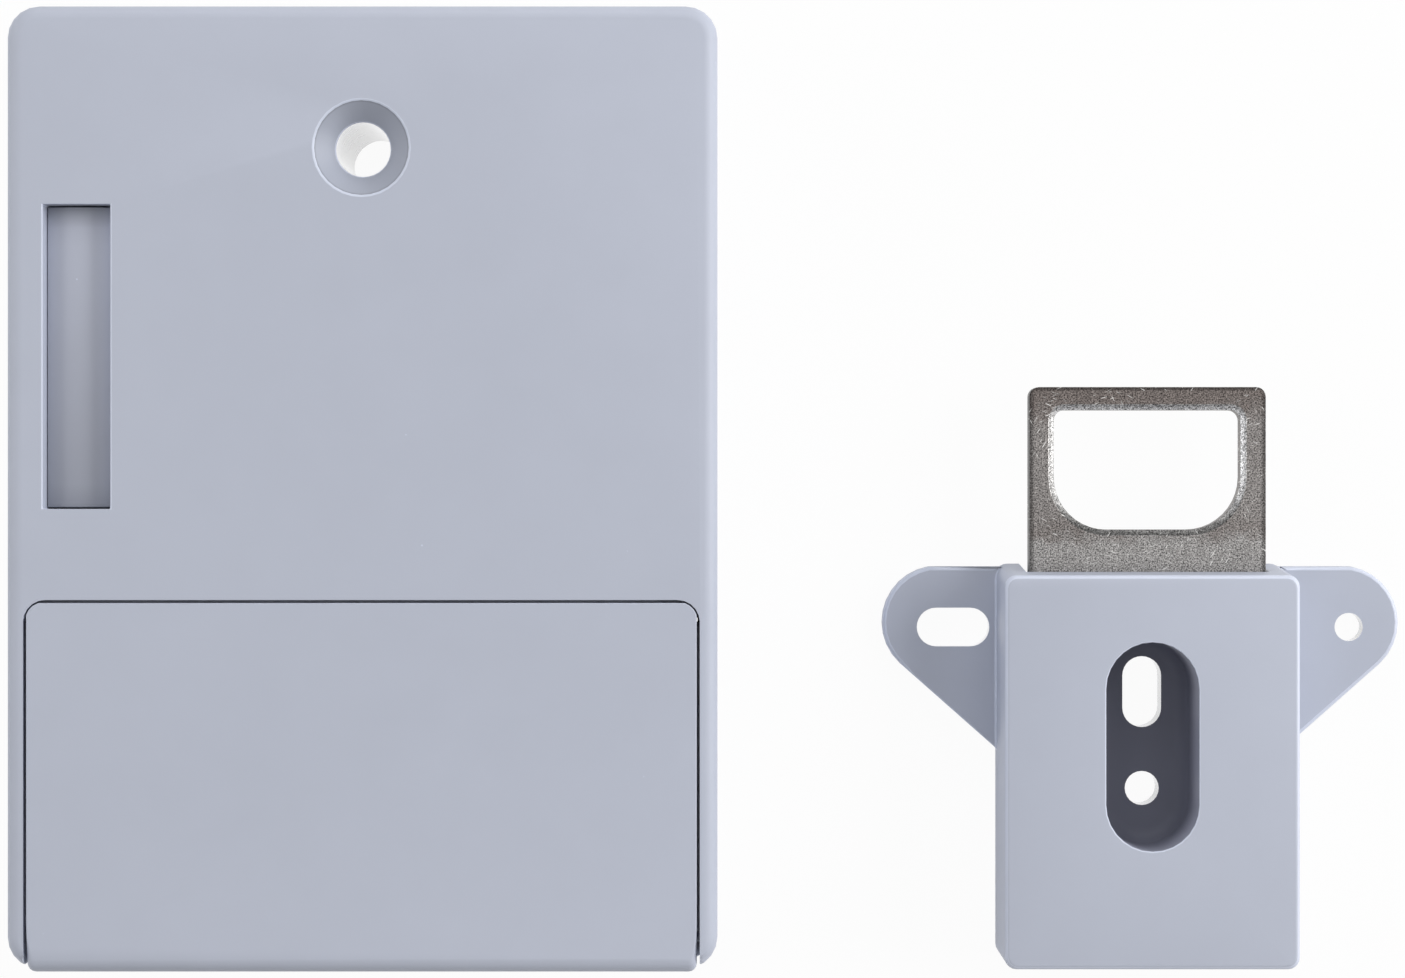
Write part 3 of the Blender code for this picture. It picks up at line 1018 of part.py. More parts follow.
def make_battery_bay():
    """Tray with three cradles, the cells turned end for end, and their springs and contact plates."""
    corner = max(CASE_CORNER - CASE_WALL, LEAST_CORNER)
    plan = rounded(-TRAY_END, TRAY_Y0, TRAY_END, TRAY_Y1, corner)
    tray = place("battery_tray", prism(plan, TRAY_FOOT, TRAY_TOP), CASE_FRAME, (TRAY_X, 0, 0), CASE_PLASTIC)
    cut(tray, box(-TRAY_HALF, TRAY_Y0 - OVERCUT, CRADLE_TOP, TRAY_HALF, TRAY_Y1 + OVERCUT,
                  TRAY_TOP + OVERCUT))
    radius = CELL_DIAMETER / 2
    nub = CELL_NUB_DIAMETER / 2
    wall_face = TRAY_HALF - GAP
    plate_face = wall_face - CONTACT_THICKNESS
    tip = plate_face - GAP
    rows = [CELL_Y + CELL_PITCH * ((CELL_COUNT - 1) / 2 - index) for index in range(CELL_COUNT)]
    for index, y in enumerate(rows):
        groove = along_x(turned([(radius + GAP, -TRAY_HALF), (radius + GAP, TRAY_HALF)]))
        cut(tray, moved(groove, 0, y, CELL_Z))
        sign = 1 if index % 2 == 0 else -1
        body_end = tip - CELL_NUB_LENGTH
        tail = tip - CELL_LENGTH
        edge = SINK
        profile = [(radius - edge, tail), (radius, tail + edge), (radius, body_end - edge),
                   (radius - edge, body_end), (nub, body_end), (nub, tip)]
        cell = along_x(turned(profile))
        if sign < 0:
            bmesh.ops.rotate(cell, verts=cell.verts, cent=(0, 0, 0), matrix=HALF_TURN)
        place(f"battery_{index + 1}", cell, CASE_FRAME, (TRAY_X, y, CELL_Z), CELL_WRAP, smooth=True)
        points = coil_points(0, CONTACT_SPRING_LENGTH, CONTACT_SPRING_BASE, CONTACT_SPRING_TIP, SPRING_WIRE,
                             CONTACT_SPRING_TURNS)
        name = f"contact_spring_{index + 1}"
        print(f"{name}: least gap between its turns {self_gap(points, SPRING_WIRE) * 1000:.2f} mm")
        coil = along_x(tube(points, SPRING_WIRE))
        if sign < 0:
            bmesh.ops.rotate(coil, verts=coil.verts, cent=(0, 0, 0), matrix=HALF_TURN)
        place(name, coil, CASE_FRAME, (TRAY_X - sign * (plate_face - GAP), y, CELL_Z), NICKEL, smooth=True)

    floor = CRADLE_TOP + GAP
    pairs = {"terminal_plate_right": (1, rows[:1]), "bridge_plate_left": (-1, rows[:2]),
             "bridge_plate_right": (1, rows[1:]), "terminal_plate_left": (-1, rows[2:])}
    for name, (sign, ends) in pairs.items():
        near, far = sorted((sign * plate_face, sign * wall_face))
        half = CONTACT_WIDTH / 2
        place(name, box(near, min(ends) - half, floor, far, max(ends) + half, floor + CONTACT_HEIGHT),
              CASE_FRAME, (TRAY_X, 0, 0), NICKEL)


make_case()
make_back_plate()
make_battery_cover()
make_gears()
make_motor()
make_bolt()
make_ejector()
make_mechanism_frame()
make_bearing_plate()
make_electronics()
make_battery_bay()
make_strike_housing()
make_strike_plate()
make_strike_insert()
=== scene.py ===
"""Looks of the hidden cabinet lock: the finish of each piece, soft edges, a white table and soft light."""

import json
import math

import bmesh
import bpy
import numpy as np
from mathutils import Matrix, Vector


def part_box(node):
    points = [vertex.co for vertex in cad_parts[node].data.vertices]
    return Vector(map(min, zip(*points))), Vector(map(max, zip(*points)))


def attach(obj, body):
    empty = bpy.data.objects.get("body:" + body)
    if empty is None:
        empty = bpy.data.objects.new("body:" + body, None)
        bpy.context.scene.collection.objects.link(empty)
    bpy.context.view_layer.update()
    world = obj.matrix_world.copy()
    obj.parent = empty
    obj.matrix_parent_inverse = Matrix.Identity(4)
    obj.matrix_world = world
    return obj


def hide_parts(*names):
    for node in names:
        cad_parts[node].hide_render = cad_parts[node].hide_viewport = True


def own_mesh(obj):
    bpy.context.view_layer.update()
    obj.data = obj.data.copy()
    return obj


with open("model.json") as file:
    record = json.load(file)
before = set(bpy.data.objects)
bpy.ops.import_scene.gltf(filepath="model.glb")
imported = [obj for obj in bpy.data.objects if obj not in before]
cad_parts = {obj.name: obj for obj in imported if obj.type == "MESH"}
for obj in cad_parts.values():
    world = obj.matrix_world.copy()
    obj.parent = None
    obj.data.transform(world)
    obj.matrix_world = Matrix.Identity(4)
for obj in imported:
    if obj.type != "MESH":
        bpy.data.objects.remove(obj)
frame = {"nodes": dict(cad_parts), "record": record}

MM = 0.001
NODES = frame["nodes"]
RECORD = frame["record"]
BODY_OF = {node: body for body, members in RECORD["behaviour"]["bodies"].items() for node in members}
SLOT_OF = {part["node"]: part["material_slot"] for part in RECORD["subparts"]}
BOX = {node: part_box(node) for node in NODES}
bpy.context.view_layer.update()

# Camera: straight down on both faces, one photograph pixel is 0.1 mm at the case's face
PHOTO_WIDTH = 1405
PIXEL = 0.1 * MM
CAMERA_DISTANCE = 340 * MM
SENSOR = 36.0
CASE_LEFT_PIXEL = 5.0
CASE_TOP_PIXEL = 4.5
PHOTO_MIDDLE = (702.5, 489.0)

# Places on the two things, in millimetres from an edge of their boxes
HOLE_FROM_TOP = 14.3
BORE_RADIUS = 2.75
SINK_RADIUS = 4.83
SINK_DEPTH = 2.08
CROWN_HEIGHT = 1.3
CROWN_KEPT = 0.4
EJECTOR_STRETCH = (1.08, 1.01)
RECESS_HALF = 4.8
RECESS_FROM_TOP = 7.9
RECESS_LENGTH = 21.6
RECESS_FLOOR = 3.0
FLOOR_HOLE_HALF = 2.1
HOUSING_HALF = 15.9
FACE_FILLET = 0.6
WING_THICKNESS = 2.0
WING_HOLES = (15.2, 24.2)
WING_HOLE_FROM_TOP = 6.7
WING_HOLE_HALF = 2.2
PLATE_REACH = 19.6
WINDOW_BEVEL = 0.6
TONGUE_REACH = 0.9


def make_camera():
    """Camera over the faces, placed so that the case's left and top edges fall on their pixels."""
    low, high = BOX["case"]
    data = bpy.data.cameras.new("camera")
    data.sensor_width = SENSOR
    data.lens = SENSOR * CAMERA_DISTANCE / (PHOTO_WIDTH * PIXEL)
    data.clip_start = 0.01
    camera = bpy.data.objects.new("camera", data)
    x = low[0] + (PHOTO_MIDDLE[0] - CASE_LEFT_PIXEL) * PIXEL
    y = high[1] - (PHOTO_MIDDLE[1] - CASE_TOP_PIXEL) * PIXEL
    camera.location = (x, y, high[2] + CAMERA_DISTANCE)
    bpy.context.scene.collection.objects.link(camera)
    bpy.context.scene.camera = camera


def linear(red, green, blue):
    """A colour given as 0 to 255 screen values, as the shader wants it."""
    def one(value):
        value /= 255
        return value / 12.92 if value <= 0.04045 else ((value + 0.055) / 1.055) ** 2.4
    return (one(red), one(green), one(blue), 1.0)


def tinted(colour, factor):
    """A colour made lighter or darker."""
    return tuple(min(1.0, part * factor) for part in colour[:3]) + (1.0,)


class Finish:
    """A material being built: adds nodes and joins their sockets."""

    def __init__(self, name, roughness, metallic=0.0, **sockets):
        self.material = bpy.data.materials.new(name)
        self.material.use_nodes = True
        self.tree = self.material.node_tree
        self.shader = self.tree.nodes["Principled BSDF"]
        self.shader.inputs["Roughness"].default_value = roughness
        self.shader.inputs["Metallic"].default_value = metallic
        for socket, value in sockets.items():
            self.shader.inputs[socket.replace("_", " ")].default_value = value
        self.place = self.add("ShaderNodeTexCoord").outputs["Object"]

    def add(self, kind):
        return self.tree.nodes.new(kind)

    def join(self, start, end):
        self.tree.links.new(start, end)

    def stretched(self, scale):
        """Object coordinates stretched along each axis."""
        node = self.add("ShaderNodeMapping")
        node.inputs["Scale"].default_value = scale
        self.join(self.place, node.inputs["Vector"])
        return node.outputs["Vector"]

    def along(self, axis, low, high):
        """Runs from 0 to 1 between two object coordinates on an axis, in metres."""
        split = self.add("ShaderNodeSeparateXYZ")
        self.join(self.place, split.inputs["Vector"])
        node = self.add("ShaderNodeMapRange")
        node.inputs["From Min"].default_value = low
        node.inputs["From Max"].default_value = high
        self.join(split.outputs[axis], node.inputs["Value"])
        return node.outputs["Result"]

    def away(self, centre, low, high):
        """Runs from 0 to 1 between two distances from an upright line at (x, y), in metres."""
        flat = self.add("ShaderNodeMapping")
        flat.vector_type = "TEXTURE"
        flat.inputs["Location"].default_value = (centre[0], centre[1], 0.0)
        self.join(self.place, flat.inputs["Vector"])
        level = self.add("ShaderNodeVectorMath")
        level.operation = "MULTIPLY"
        level.inputs[1].default_value = (1.0, 1.0, 0.0)
        self.join(flat.outputs["Vector"], level.inputs[0])
        length = self.add("ShaderNodeVectorMath")
        length.operation = "LENGTH"
        self.join(level.outputs["Vector"], length.inputs[0])
        node = self.add("ShaderNodeMapRange")
        node.inputs["From Min"].default_value = low
        node.inputs["From Max"].default_value = high
        self.join(length.outputs["Value"], node.inputs["Value"])
        return node.outputs["Result"]

    def noise(self, scale, detail=2.0, roughness=0.5, vector=None):
        node = self.add("ShaderNodeTexNoise")
        node.inputs["Scale"].default_value = scale
        node.inputs["Detail"].default_value = detail
        node.inputs["Roughness"].default_value = roughness
        self.join(vector or self.place, node.inputs["Vector"])
        return node.outputs["Fac"]

    def scratches(self, angles, along, across):
        """Scattered short lines, a set for each angle in radians from X; along and across are per metre."""
        every = None
        for count, angle in enumerate(angles):
            turned = self.add("ShaderNodeMapping")
            turned.vector_type = "TEXTURE"
            turned.inputs["Rotation"].default_value = (0.0, 0.0, angle)
            turned.inputs["Scale"].default_value = (1 / along, 1 / across, 1 / along)
            self.join(self.place, turned.inputs["Vector"])
            line = self.ramp(self.noise(1.0, 0.0, 0.5, turned.outputs["Vector"]), (0.73, 0.0), (0.77, 1.0))
            where = self.ramp(self.noise(along * (0.21 + 0.03 * count), 1.0), (0.57, 0.0), (0.63, 1.0))
            both = self.math("MULTIPLY", line, where)
            every = self.math("MAXIMUM", every, both) if every else both
        return every

    def cells(self, scale, vector=None):
        """Distance from scattered points."""
        node = self.add("ShaderNodeTexVoronoi")
        node.inputs["Scale"].default_value = scale
        self.join(vector or self.place, node.inputs["Vector"])
        return node.outputs["Distance"]

    def ramp(self, value, *stops):
        """A colour or grey by value; each stop is (position, grey or colour)."""
        node = self.add("ShaderNodeValToRGB")
        band = node.color_ramp
        while len(band.elements) < len(stops):
            band.elements.new(0.5)
        for element, (position, colour) in zip(band.elements, stops):
            element.position = position
            element.color = colour if isinstance(colour, tuple) else (colour, colour, colour, 1.0)
        self.join(value, node.inputs["Fac"])
        return node.outputs["Color"]

    def math(self, operation, a, b):
        node = self.add("ShaderNodeMath")
        node.operation = operation
        for socket, value in zip(node.inputs, (a, b)):
            if isinstance(value, (int, float)):
                socket.default_value = value
            else:
                self.join(value, socket)
        return node.outputs["Value"]

    def mixed(self, factor, first, second, how="MIX"):
        node = self.add("ShaderNodeMix")
        node.data_type = "RGBA"
        node.blend_type = how
        slots = {"Factor": factor, "A": first, "B": second}
        kinds = {"Factor": "VALUE", "A": "RGBA", "B": "RGBA"}
        for socket in node.inputs:
            if socket.name in slots and socket.type == kinds[socket.name]:
                value = slots.pop(socket.name)
                if isinstance(value, (int, float, tuple)):
                    socket.default_value = value
                else:
                    self.join(value, socket)
        return next(socket for socket in node.outputs if socket.type == "RGBA")

    def colour(self, value):
        self.join(value, self.shader.inputs["Base Color"])

    def rough(self, value, low, high):
        """Roughness between two values by a pattern."""
        node = self.add("ShaderNodeMapRange")
        node.inputs["To Min"].default_value = low
        node.inputs["To Max"].default_value = high
        self.join(value, node.inputs["Value"])
        self.join(node.outputs["Result"], self.shader.inputs["Roughness"])

    def bump(self, *layers):
        """Layers of (height, distance in metres), one on the other."""
        normal = None
        for height, distance in layers:
            node = self.add("ShaderNodeBump")
            node.inputs["Strength"].default_value = 1.0
            node.inputs["Distance"].default_value = distance
            self.join(height, node.inputs["Height"])
            if normal:
                self.join(normal, node.inputs["Normal"])
            normal = node.outputs["Normal"]
        self.join(normal, self.shader.inputs["Normal"])
        return self.material


def moulded_plastic(name, colour, grain=1.0, roughness=0.5, gloss=0.45, shades=()):
    """Matt moulded plastic: fine spark-eroded grain, faint mottling, a few specks.

    A shade is (axis or centre, low, high, stops): painted shade and light, a tone that changes along an axis,
    or away from a point.
    """
    made = Finish(name, roughness, Specular_IOR_Level=gloss)
    mottle = made.noise(160.0, 3.0)
    cloud = made.noise(28.0, 2.0)
    both = made.math("ADD", made.math("MULTIPLY", mottle, 0.5), made.math("MULTIPLY", cloud, 0.5))
    tone = made.ramp(both, (0.30, tinted(colour, 0.98)), (0.70, tinted(colour, 1.02)))
    speck = made.ramp(made.cells(420.0), (0.030, 1.0), (0.050, 0.0))
    rare = made.ramp(made.noise(150.0, 0.0), (0.68, 0.0), (0.72, 1.0))
    tone = made.mixed(made.math("MULTIPLY", speck, rare), tone, tinted(colour, 1.25))
    for line, low, high, *stops in shades:
        run = made.along(line, low, high) if isinstance(line, str) else made.away(line, low, high)
        tone = made.mixed(1.0, tone, made.ramp(run, *stops), "MULTIPLY")
    made.colour(tone)
    made.rough(made.noise(420.0, 2.0), roughness - 0.06, roughness + 0.07)
    fine = made.noise(5200.0, 2.0, 0.6)
    coarse = made.noise(1500.0, 2.0, 0.55)
    return made.bump((fine, 0.0000035 * grain), (coarse, 0.0000050 * grain))


def bore_plastic(name, colour, tint):
    """Wall of a hole: glossy, so that it mirrors the white beyond, with rings and stains."""
    made = Finish(name, 0.12, Specular_IOR_Level=0.9, Coat_Weight=1.0, Coat_Roughness=0.08)
    rings = made.noise(1.0, 3.0, 0.6, made.stretched((120.0, 120.0, 1100.0)))
    stain = made.ramp(made.noise(700.0, 2.0), (0.56, 0.0), (0.68, 0.8))
    made.colour(made.mixed(stain, made.ramp(rings, (0.38, tinted(colour, 0.80)), (0.60, colour)), tint))
    made.rough(rings, 0.08, 0.22)
    return made.bump((rings, 0.000008))


def worn_steel(name, colour, dark, stain=None, rims=()):
    """Rolled steel: fine grain, streaks and scratches.

    stain is (axis, low, high, stops): how far the dark tone covers the other. rims are painted shades and
    highlights, given as the shades on plastic.
    """
    made = Finish(name, 0.40, 1.0)
    grit = made.noise(6200.0, 2.0, 0.8)
    streak = made.noise(1.0, 3.0, 0.65, made.stretched((3600.0, 420.0, 900.0)))
    cloud = made.noise(150.0, 4.0, 0.6)
    tone = made.ramp(cloud, (0.30, tinted(colour, 0.90)), (0.70, tinted(colour, 1.06)))
    if stain:
        line, low, high, *stops = stain
        grime = made.math("MULTIPLY", made.math("SUBTRACT", made.noise(260.0, 4.0, 0.65), 0.5), 0.35)
        depth = made.math("ADD", made.along(line, low, high), grime)
        tone = made.mixed(made.ramp(depth, *stops), tone, dark)
    tone = made.mixed(1.0, tone, made.ramp(grit, (0.36, 0.06), (0.64, 0.94)), "OVERLAY")
    tone = made.mixed(0.25, tone, made.ramp(streak, (0.34, 0.24), (0.66, 0.78)), "OVERLAY")
    for line, low, high, *stops in rims:
        tone = made.mixed(1.0, tone, made.ramp(made.along(line, low, high), *stops), "MULTIPLY")
    scratch = made.scratches((1.0, -0.5, -1.1, 0.4), 1000.0, 8000.0)
    made.colour(made.mixed(made.math("MULTIPLY", scratch, 0.6), tone, linear(228, 227, 225)))
    made.rough(grit, 0.30, 0.52)
    return made.bump((grit, 0.000007), (streak, 0.000005), (scratch, 0.000004))


def plated_metal(name, colour, roughness=0.28):
    """Plated steel with light handling marks."""
    made = Finish(name, roughness, 1.0)
    made.colour(made.ramp(made.noise(600.0, 3.0), (0.3, tinted(colour, 0.86)), (0.7, colour)))
    made.rough(made.noise(1400.0, 2.0), roughness - 0.06, roughness + 0.10)
    return made.bump((made.noise(3800.0, 2.0), 0.000003))


def board_finish(name):
    """Green solder mask over faint copper runs."""
    made = Finish(name, 0.38)
    made.colour(made.ramp(made.cells(380.0), (0.10, linear(18, 84, 46)), (0.22, linear(10, 62, 34))))
    made.rough(made.noise(900.0, 2.0), 0.30, 0.45)
    return made.bump((made.cells(380.0), 0.00002))


def sleeve_finish(name):
    """Shrunk plastic sleeve of a plain cell."""
    made = Finish(name, 0.3, Specular_IOR_Level=0.5)
    made.colour(made.ramp(made.noise(140.0, 2.0), (0.35, linear(34, 44, 56)), (0.65, linear(42, 53, 66))))
    made.rough(made.noise(700.0, 2.0), 0.24, 0.36)
    return made.bump((made.noise(900.0, 2.0), 0.000008))


def copper_finish(name):
    """Enamelled copper wire laid side by side."""
    made = Finish(name, 0.32, 1.0)
    made.colour(made.ramp(made.noise(1200.0, 2.0), (0.3, linear(150, 82, 44)), (0.7, linear(188, 112, 66))))
    turns = made.noise(1.0, 0.0, 0.5, made.stretched((6500.0, 6500.0, 400.0)))
    return made.bump((turns, 0.00003))


BLUE_GREY = linear(186, 191, 205)
EJECTOR_LOW, EJECTOR_HIGH = BOX["ejector"]
PLATE_LEFT = BOX["strike_plate"][0][0]
PLATE_RIGHT, PLATE_END, PLATE_TOP = BOX["strike_plate"][1]
STRIKE_TOP = BOX["strike_housing"][1][2]
# Light falls off down the slot: brightest near its top end, with the shadow of the end wall above that
EJECTOR_TONES = ((0.0, 0.42), (0.03, 0.52), (0.10, 0.66), (0.36, 0.79), (0.69, 0.93), (0.85, 1.0),
                 (0.91, 0.98), (0.95, 0.72), (1.0, 0.35))
# Painted shade across the slot: darker towards its left wall, lighter towards its right
EJECTOR_ACROSS_SHADE = ((0.0, 0.92), (0.30, 1.0), (0.70, 1.0), (1.0, 1.14))
# How far brown stains cover the plate, from its housing up: a band under the window, the sides, the tip
PLATE_STAINS = ((0.0, 0.24), (0.17, 0.22), (0.24, 0.75), (0.31, 0.60), (0.45, 0.55), (0.80, 0.60),
                (0.92, 0.95))
# Painted shade lines along the plate's two side edges
PAINTED_EDGE_SHADE = ((0.0, 0.40), (0.010, 0.45), (0.022, 1.0), (0.978, 1.0), (0.990, 0.45), (1.0, 0.40))
STEEL_GREY = linear(144, 143, 142)
STEEL_BROWN = linear(98, 91, 88)
FINISHES = {
    "case_plastic": moulded_plastic("blue grey plastic", BLUE_GREY),
    "ejector_plastic": moulded_plastic("mid grey plastic", linear(192, 196, 210), 0.8, 0.42,
                                       shades=[("Y", EJECTOR_LOW[1], EJECTOR_HIGH[1], *EJECTOR_TONES),
                                               ("X", EJECTOR_LOW[0], EJECTOR_HIGH[0], *EJECTOR_ACROSS_SHADE)]),
    "plate_steel": worn_steel("rolled steel", STEEL_GREY, STEEL_BROWN,
                              ("Y", PLATE_END - PLATE_REACH * MM, PLATE_END, *PLATE_STAINS),
                              [("X", PLATE_LEFT, PLATE_RIGHT, *PAINTED_EDGE_SHADE),
                               # Painted shade line along the plate's tip
                               ("Y", PLATE_END - PLATE_REACH * MM, PLATE_END,
                                (0.978, 1.0), (0.988, 0.45))]),
    "bolt_steel": worn_steel("bolt steel", linear(186, 185, 182), linear(150, 147, 142)),
    "screw_steel": plated_metal("zinc plated steel", linear(190, 192, 196)),
    "nickel": plated_metal("nickel", linear(204, 202, 196), 0.22),
    "gear_plastic": moulded_plastic("natural white plastic", linear(226, 225, 218), 0.6, 0.4),
    "black_plastic": moulded_plastic("black plastic", linear(34, 34, 36), 1.2, 0.45),
    "board": board_finish("board green"),
    "copper": copper_finish("enamelled copper"),
    "cell_wrap": sleeve_finish("cell sleeve"),
}
# Painted light: the walls of the screw holes are near white instead of the blue grey, standing in for light
# coming up through the holes from the white table
BORE_PAINTED_LIGHT = bore_plastic("bore plastic painted pale", linear(236, 238, 244), linear(226, 214, 186))
HOLE = ((BOX["case"][0][0] + BOX["case"][1][0]) / 2, BOX["case"][1][1] - HOLE_FROM_TOP * MM)
# Painted shade: the countersink's cone is 0.8 times the blue grey, for the shade in the hollow, with a
# painted dark shade line round its outer rim
SINK_PAINTED_SHADE = moulded_plastic("countersink plastic painted shade", tinted(BLUE_GREY, 0.80), 0.5, 0.42,
                       shades=[(HOLE, 0.0, SINK_RADIUS * MM, (0.94, 1.0), (0.98, 0.62))])
# Painted shade in the strike's recess: a dark tone at its floor that grows lighter up the walls, with a
# painted dark shade line at the rim
RECESS_PAINTED_SHADE = moulded_plastic("recess plastic painted shade", linear(126, 128, 141), 0.4, 0.45, 0.2,
                         shades=[("Z", RECESS_FLOOR * MM, STRIKE_TOP,
                                  (0.0, 1.0), (0.95, 1.6), (0.98, 0.6))])
# Painted highlight: the blue grey made 1.3 times lighter and glossier, for the light lines along rounded
# edges and the strike's face fillet
PAINTED_EDGE_HIGHLIGHT = moulded_plastic("edge plastic painted highlight", tinted(BLUE_GREY, 1.30), 0.3, 0.36)
# Painted highlight on the window's bevel: a bright band, brightest low on the bevel, with painted shade that
# darkens it towards the plate's housing end
RIM_STEEL_PAINTED_HIGHLIGHT = worn_steel("punched rim steel painted highlight", STEEL_GREY, STEEL_BROWN, rims=[
    ("Z", PLATE_TOP - WINDOW_BEVEL * MM, PLATE_TOP, (0.0, 2.3), (0.4, 2.0), (1.0, 0.9)),
    ("Y", PLATE_END - PLATE_REACH * MM, PLATE_END, (0.25, 0.30), (0.42, 0.75), (0.60, 1.0))])

# Width of the softened edges in millimetres, by node
EDGES = {"case": 0.14, "battery_cover": 0.14, "strike_housing": 0.14, "strike_plate": 0.10, "ejector": 0.10}
PLAIN_EDGE = 0.06
WING_EDGE = 0.40
COVER_CORNER = 0.80
CORNER_SEGMENTS = 4
SHARP_ANGLE = math.radians(32)
# Points this near in millimetres are one, and faces that turn by less than this are one
MERGE_REACH = 0.002
FLAT_ANGLE = math.radians(0.4)
# How far up a face's normal points: less than the first is a wall, between the two a slope
WALL, SLOPE = 0.3, 0.95
# Finish of the softened edges themselves, where it isn't the node's own: a lighter, glossier painted
# highlight
EDGE_HIGHLIGHT_BY_NODE = {"case": PAINTED_EDGE_HIGHLIGHT, "strike_housing": PAINTED_EDGE_HIGHLIGHT}


def in_bore(at, normal):
    """Faces of the screw hole's straight wall."""
    away = math.hypot(at[0] - HOLE[0], at[1] - HOLE[1])
    return away < (BORE_RADIUS + 0.35) * MM and abs(normal[2]) < WALL


def in_sink(at, normal):
    """Faces of the countersink's cone."""
    foot = BOX["case"][1][2] - (SINK_DEPTH + 0.1) * MM
    away = math.hypot(at[0] - HOLE[0], at[1] - HOLE[1])
    return away < SINK_RADIUS * MM and at[2] > foot and WALL < normal[2] < SLOPE


def in_recess(at, normal):
    """Faces of the strike's sunk recess."""
    low, high = BOX["strike_housing"]
    middle = (low[0] + high[0]) / 2
    top = high[1] - RECESS_FROM_TOP * MM
    beside = abs(at[0] - middle) < (RECESS_HALF + 0.02) * MM
    between = top - (RECESS_LENGTH + 0.02) * MM < at[1] < top + 0.02 * MM
    return beside and between and (RECESS_FLOOR - 0.05) * MM < at[2] < high[2] - 0.05 * MM


def in_floor_hole(at, normal):
    """Faces of the strike's four screw holes."""
    low, high = BOX["strike_housing"]
    beside = abs(at[0] - (low[0] + high[0]) / 2) / MM
    below = (high[1] - at[1]) / MM
    floor = RECESS_FROM_TOP < below < RECESS_FROM_TOP + RECESS_LENGTH
    in_floor = floor and beside < FLOOR_HOLE_HALF and at[2] < RECESS_FLOOR * MM
    wing = WING_HOLES[0] < beside < WING_HOLES[1] and abs(below - WING_HOLE_FROM_TOP) < WING_HOLE_HALF
    in_wing = wing and at[2] < WING_THICKNESS * MM
    return abs(normal[2]) < WALL and (in_floor or in_wing)


def on_face_edge(at, normal):
    """Faces of the fillet round the strike's front face."""
    return at[2] > STRIKE_TOP - FACE_FILLET * MM and 0.25 < normal[2] < 0.97


def on_bevel(at, normal):
    """Faces of the bevel round the plate's window."""
    return WALL < normal[2] < SLOPE


PAINT = {
    "case": [(in_bore, BORE_PAINTED_LIGHT), (in_sink, SINK_PAINTED_SHADE)],
    "back_plate": [(in_bore, BORE_PAINTED_LIGHT)],
    "strike_housing": [(on_face_edge, PAINTED_EDGE_HIGHLIGHT), (in_recess, RECESS_PAINTED_SHADE), (in_floor_hole, BORE_PAINTED_LIGHT)],
    "strike_plate": [(on_bevel, RIM_STEEL_PAINTED_HIGHLIGHT)],
}


COVER_LOW, COVER_HIGH = BOX["battery_cover"]
COVER_LEFT = COVER_LOW[0] + TONGUE_REACH * MM
COVER_RIGHT = COVER_HIGH[0] - TONGUE_REACH * MM


def at_seam(edge):
    """Edges of the case along the battery cover's outline, which stay crisp."""
    reach = 0.4 * MM
    foot = BOX["case"][1][2] - 0.3 * MM
    for vert in edge.verts:
        x, y, z = vert.co
        beside = min(abs(x - COVER_LEFT), abs(x - COVER_RIGHT), abs(y - COVER_HIGH[1]))
        inside = COVER_LEFT - reach < x < COVER_RIGHT + reach and y < COVER_HIGH[1] + reach
        if z < foot or not inside or beside > 2.5 * reach:
            return False
    return True


def at_cover_corner(edge):
    """The cover's two corners at its open end, from its fillet down."""
    reach = 0.05 * MM
    first, second = (vert.co for vert in edge.verts)
    sides = all(min(abs(at[0] - COVER_LEFT), abs(at[0] - COVER_RIGHT)) < reach for at in (first, second))
    end = max(first[1], second[1]) < COVER_LOW[1] + 2 * MM
    return sides and end and abs(first[2] - second[2]) > reach


def at_floor_hole(edge):
    """The rims of the strike's screw holes, which stay crisp."""
    return any(in_floor_hole(face.calc_center_median(), face.normal) for face in edge.link_faces)


def at_wing_outline(edge):
    """The outlines of the wings' faces."""
    low, high = BOX["strike_housing"]
    at = (edge.verts[0].co + edge.verts[1].co) / 2
    beside = abs(at[0] - (low[0] + high[0]) / 2)
    level = all(abs(vert.co[2] - WING_THICKNESS * MM) < 0.02 * MM for vert in edge.verts)
    return level and edge.is_convex and beside > HOUSING_HALF * MM


# Edges softened more or less than the rest of their node: which, and their width in millimetres
SPECIAL_EDGES = {"case": [(at_seam, 0.0)],
                 "strike_housing": [(at_floor_hole, 0.0), (at_wing_outline, WING_EDGE)]}


def merged(node):
    """A node's mesh as a copy and as an editable mesh, in which the triangles share their points."""
    mesh = NODES[node].data.copy()
    bm = bmesh.new()
    bm.from_mesh(mesh)
    bmesh.ops.remove_doubles(bm, verts=bm.verts, dist=MERGE_REACH * MM)
    return mesh, bm


def place_piece(name, mesh, node):
    """The object of a piece that rides with a node and shares its slot."""
    piece = bpy.data.objects.new(name, mesh)
    bpy.context.scene.collection.objects.link(piece)
    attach(piece, BODY_OF[node])
    return piece


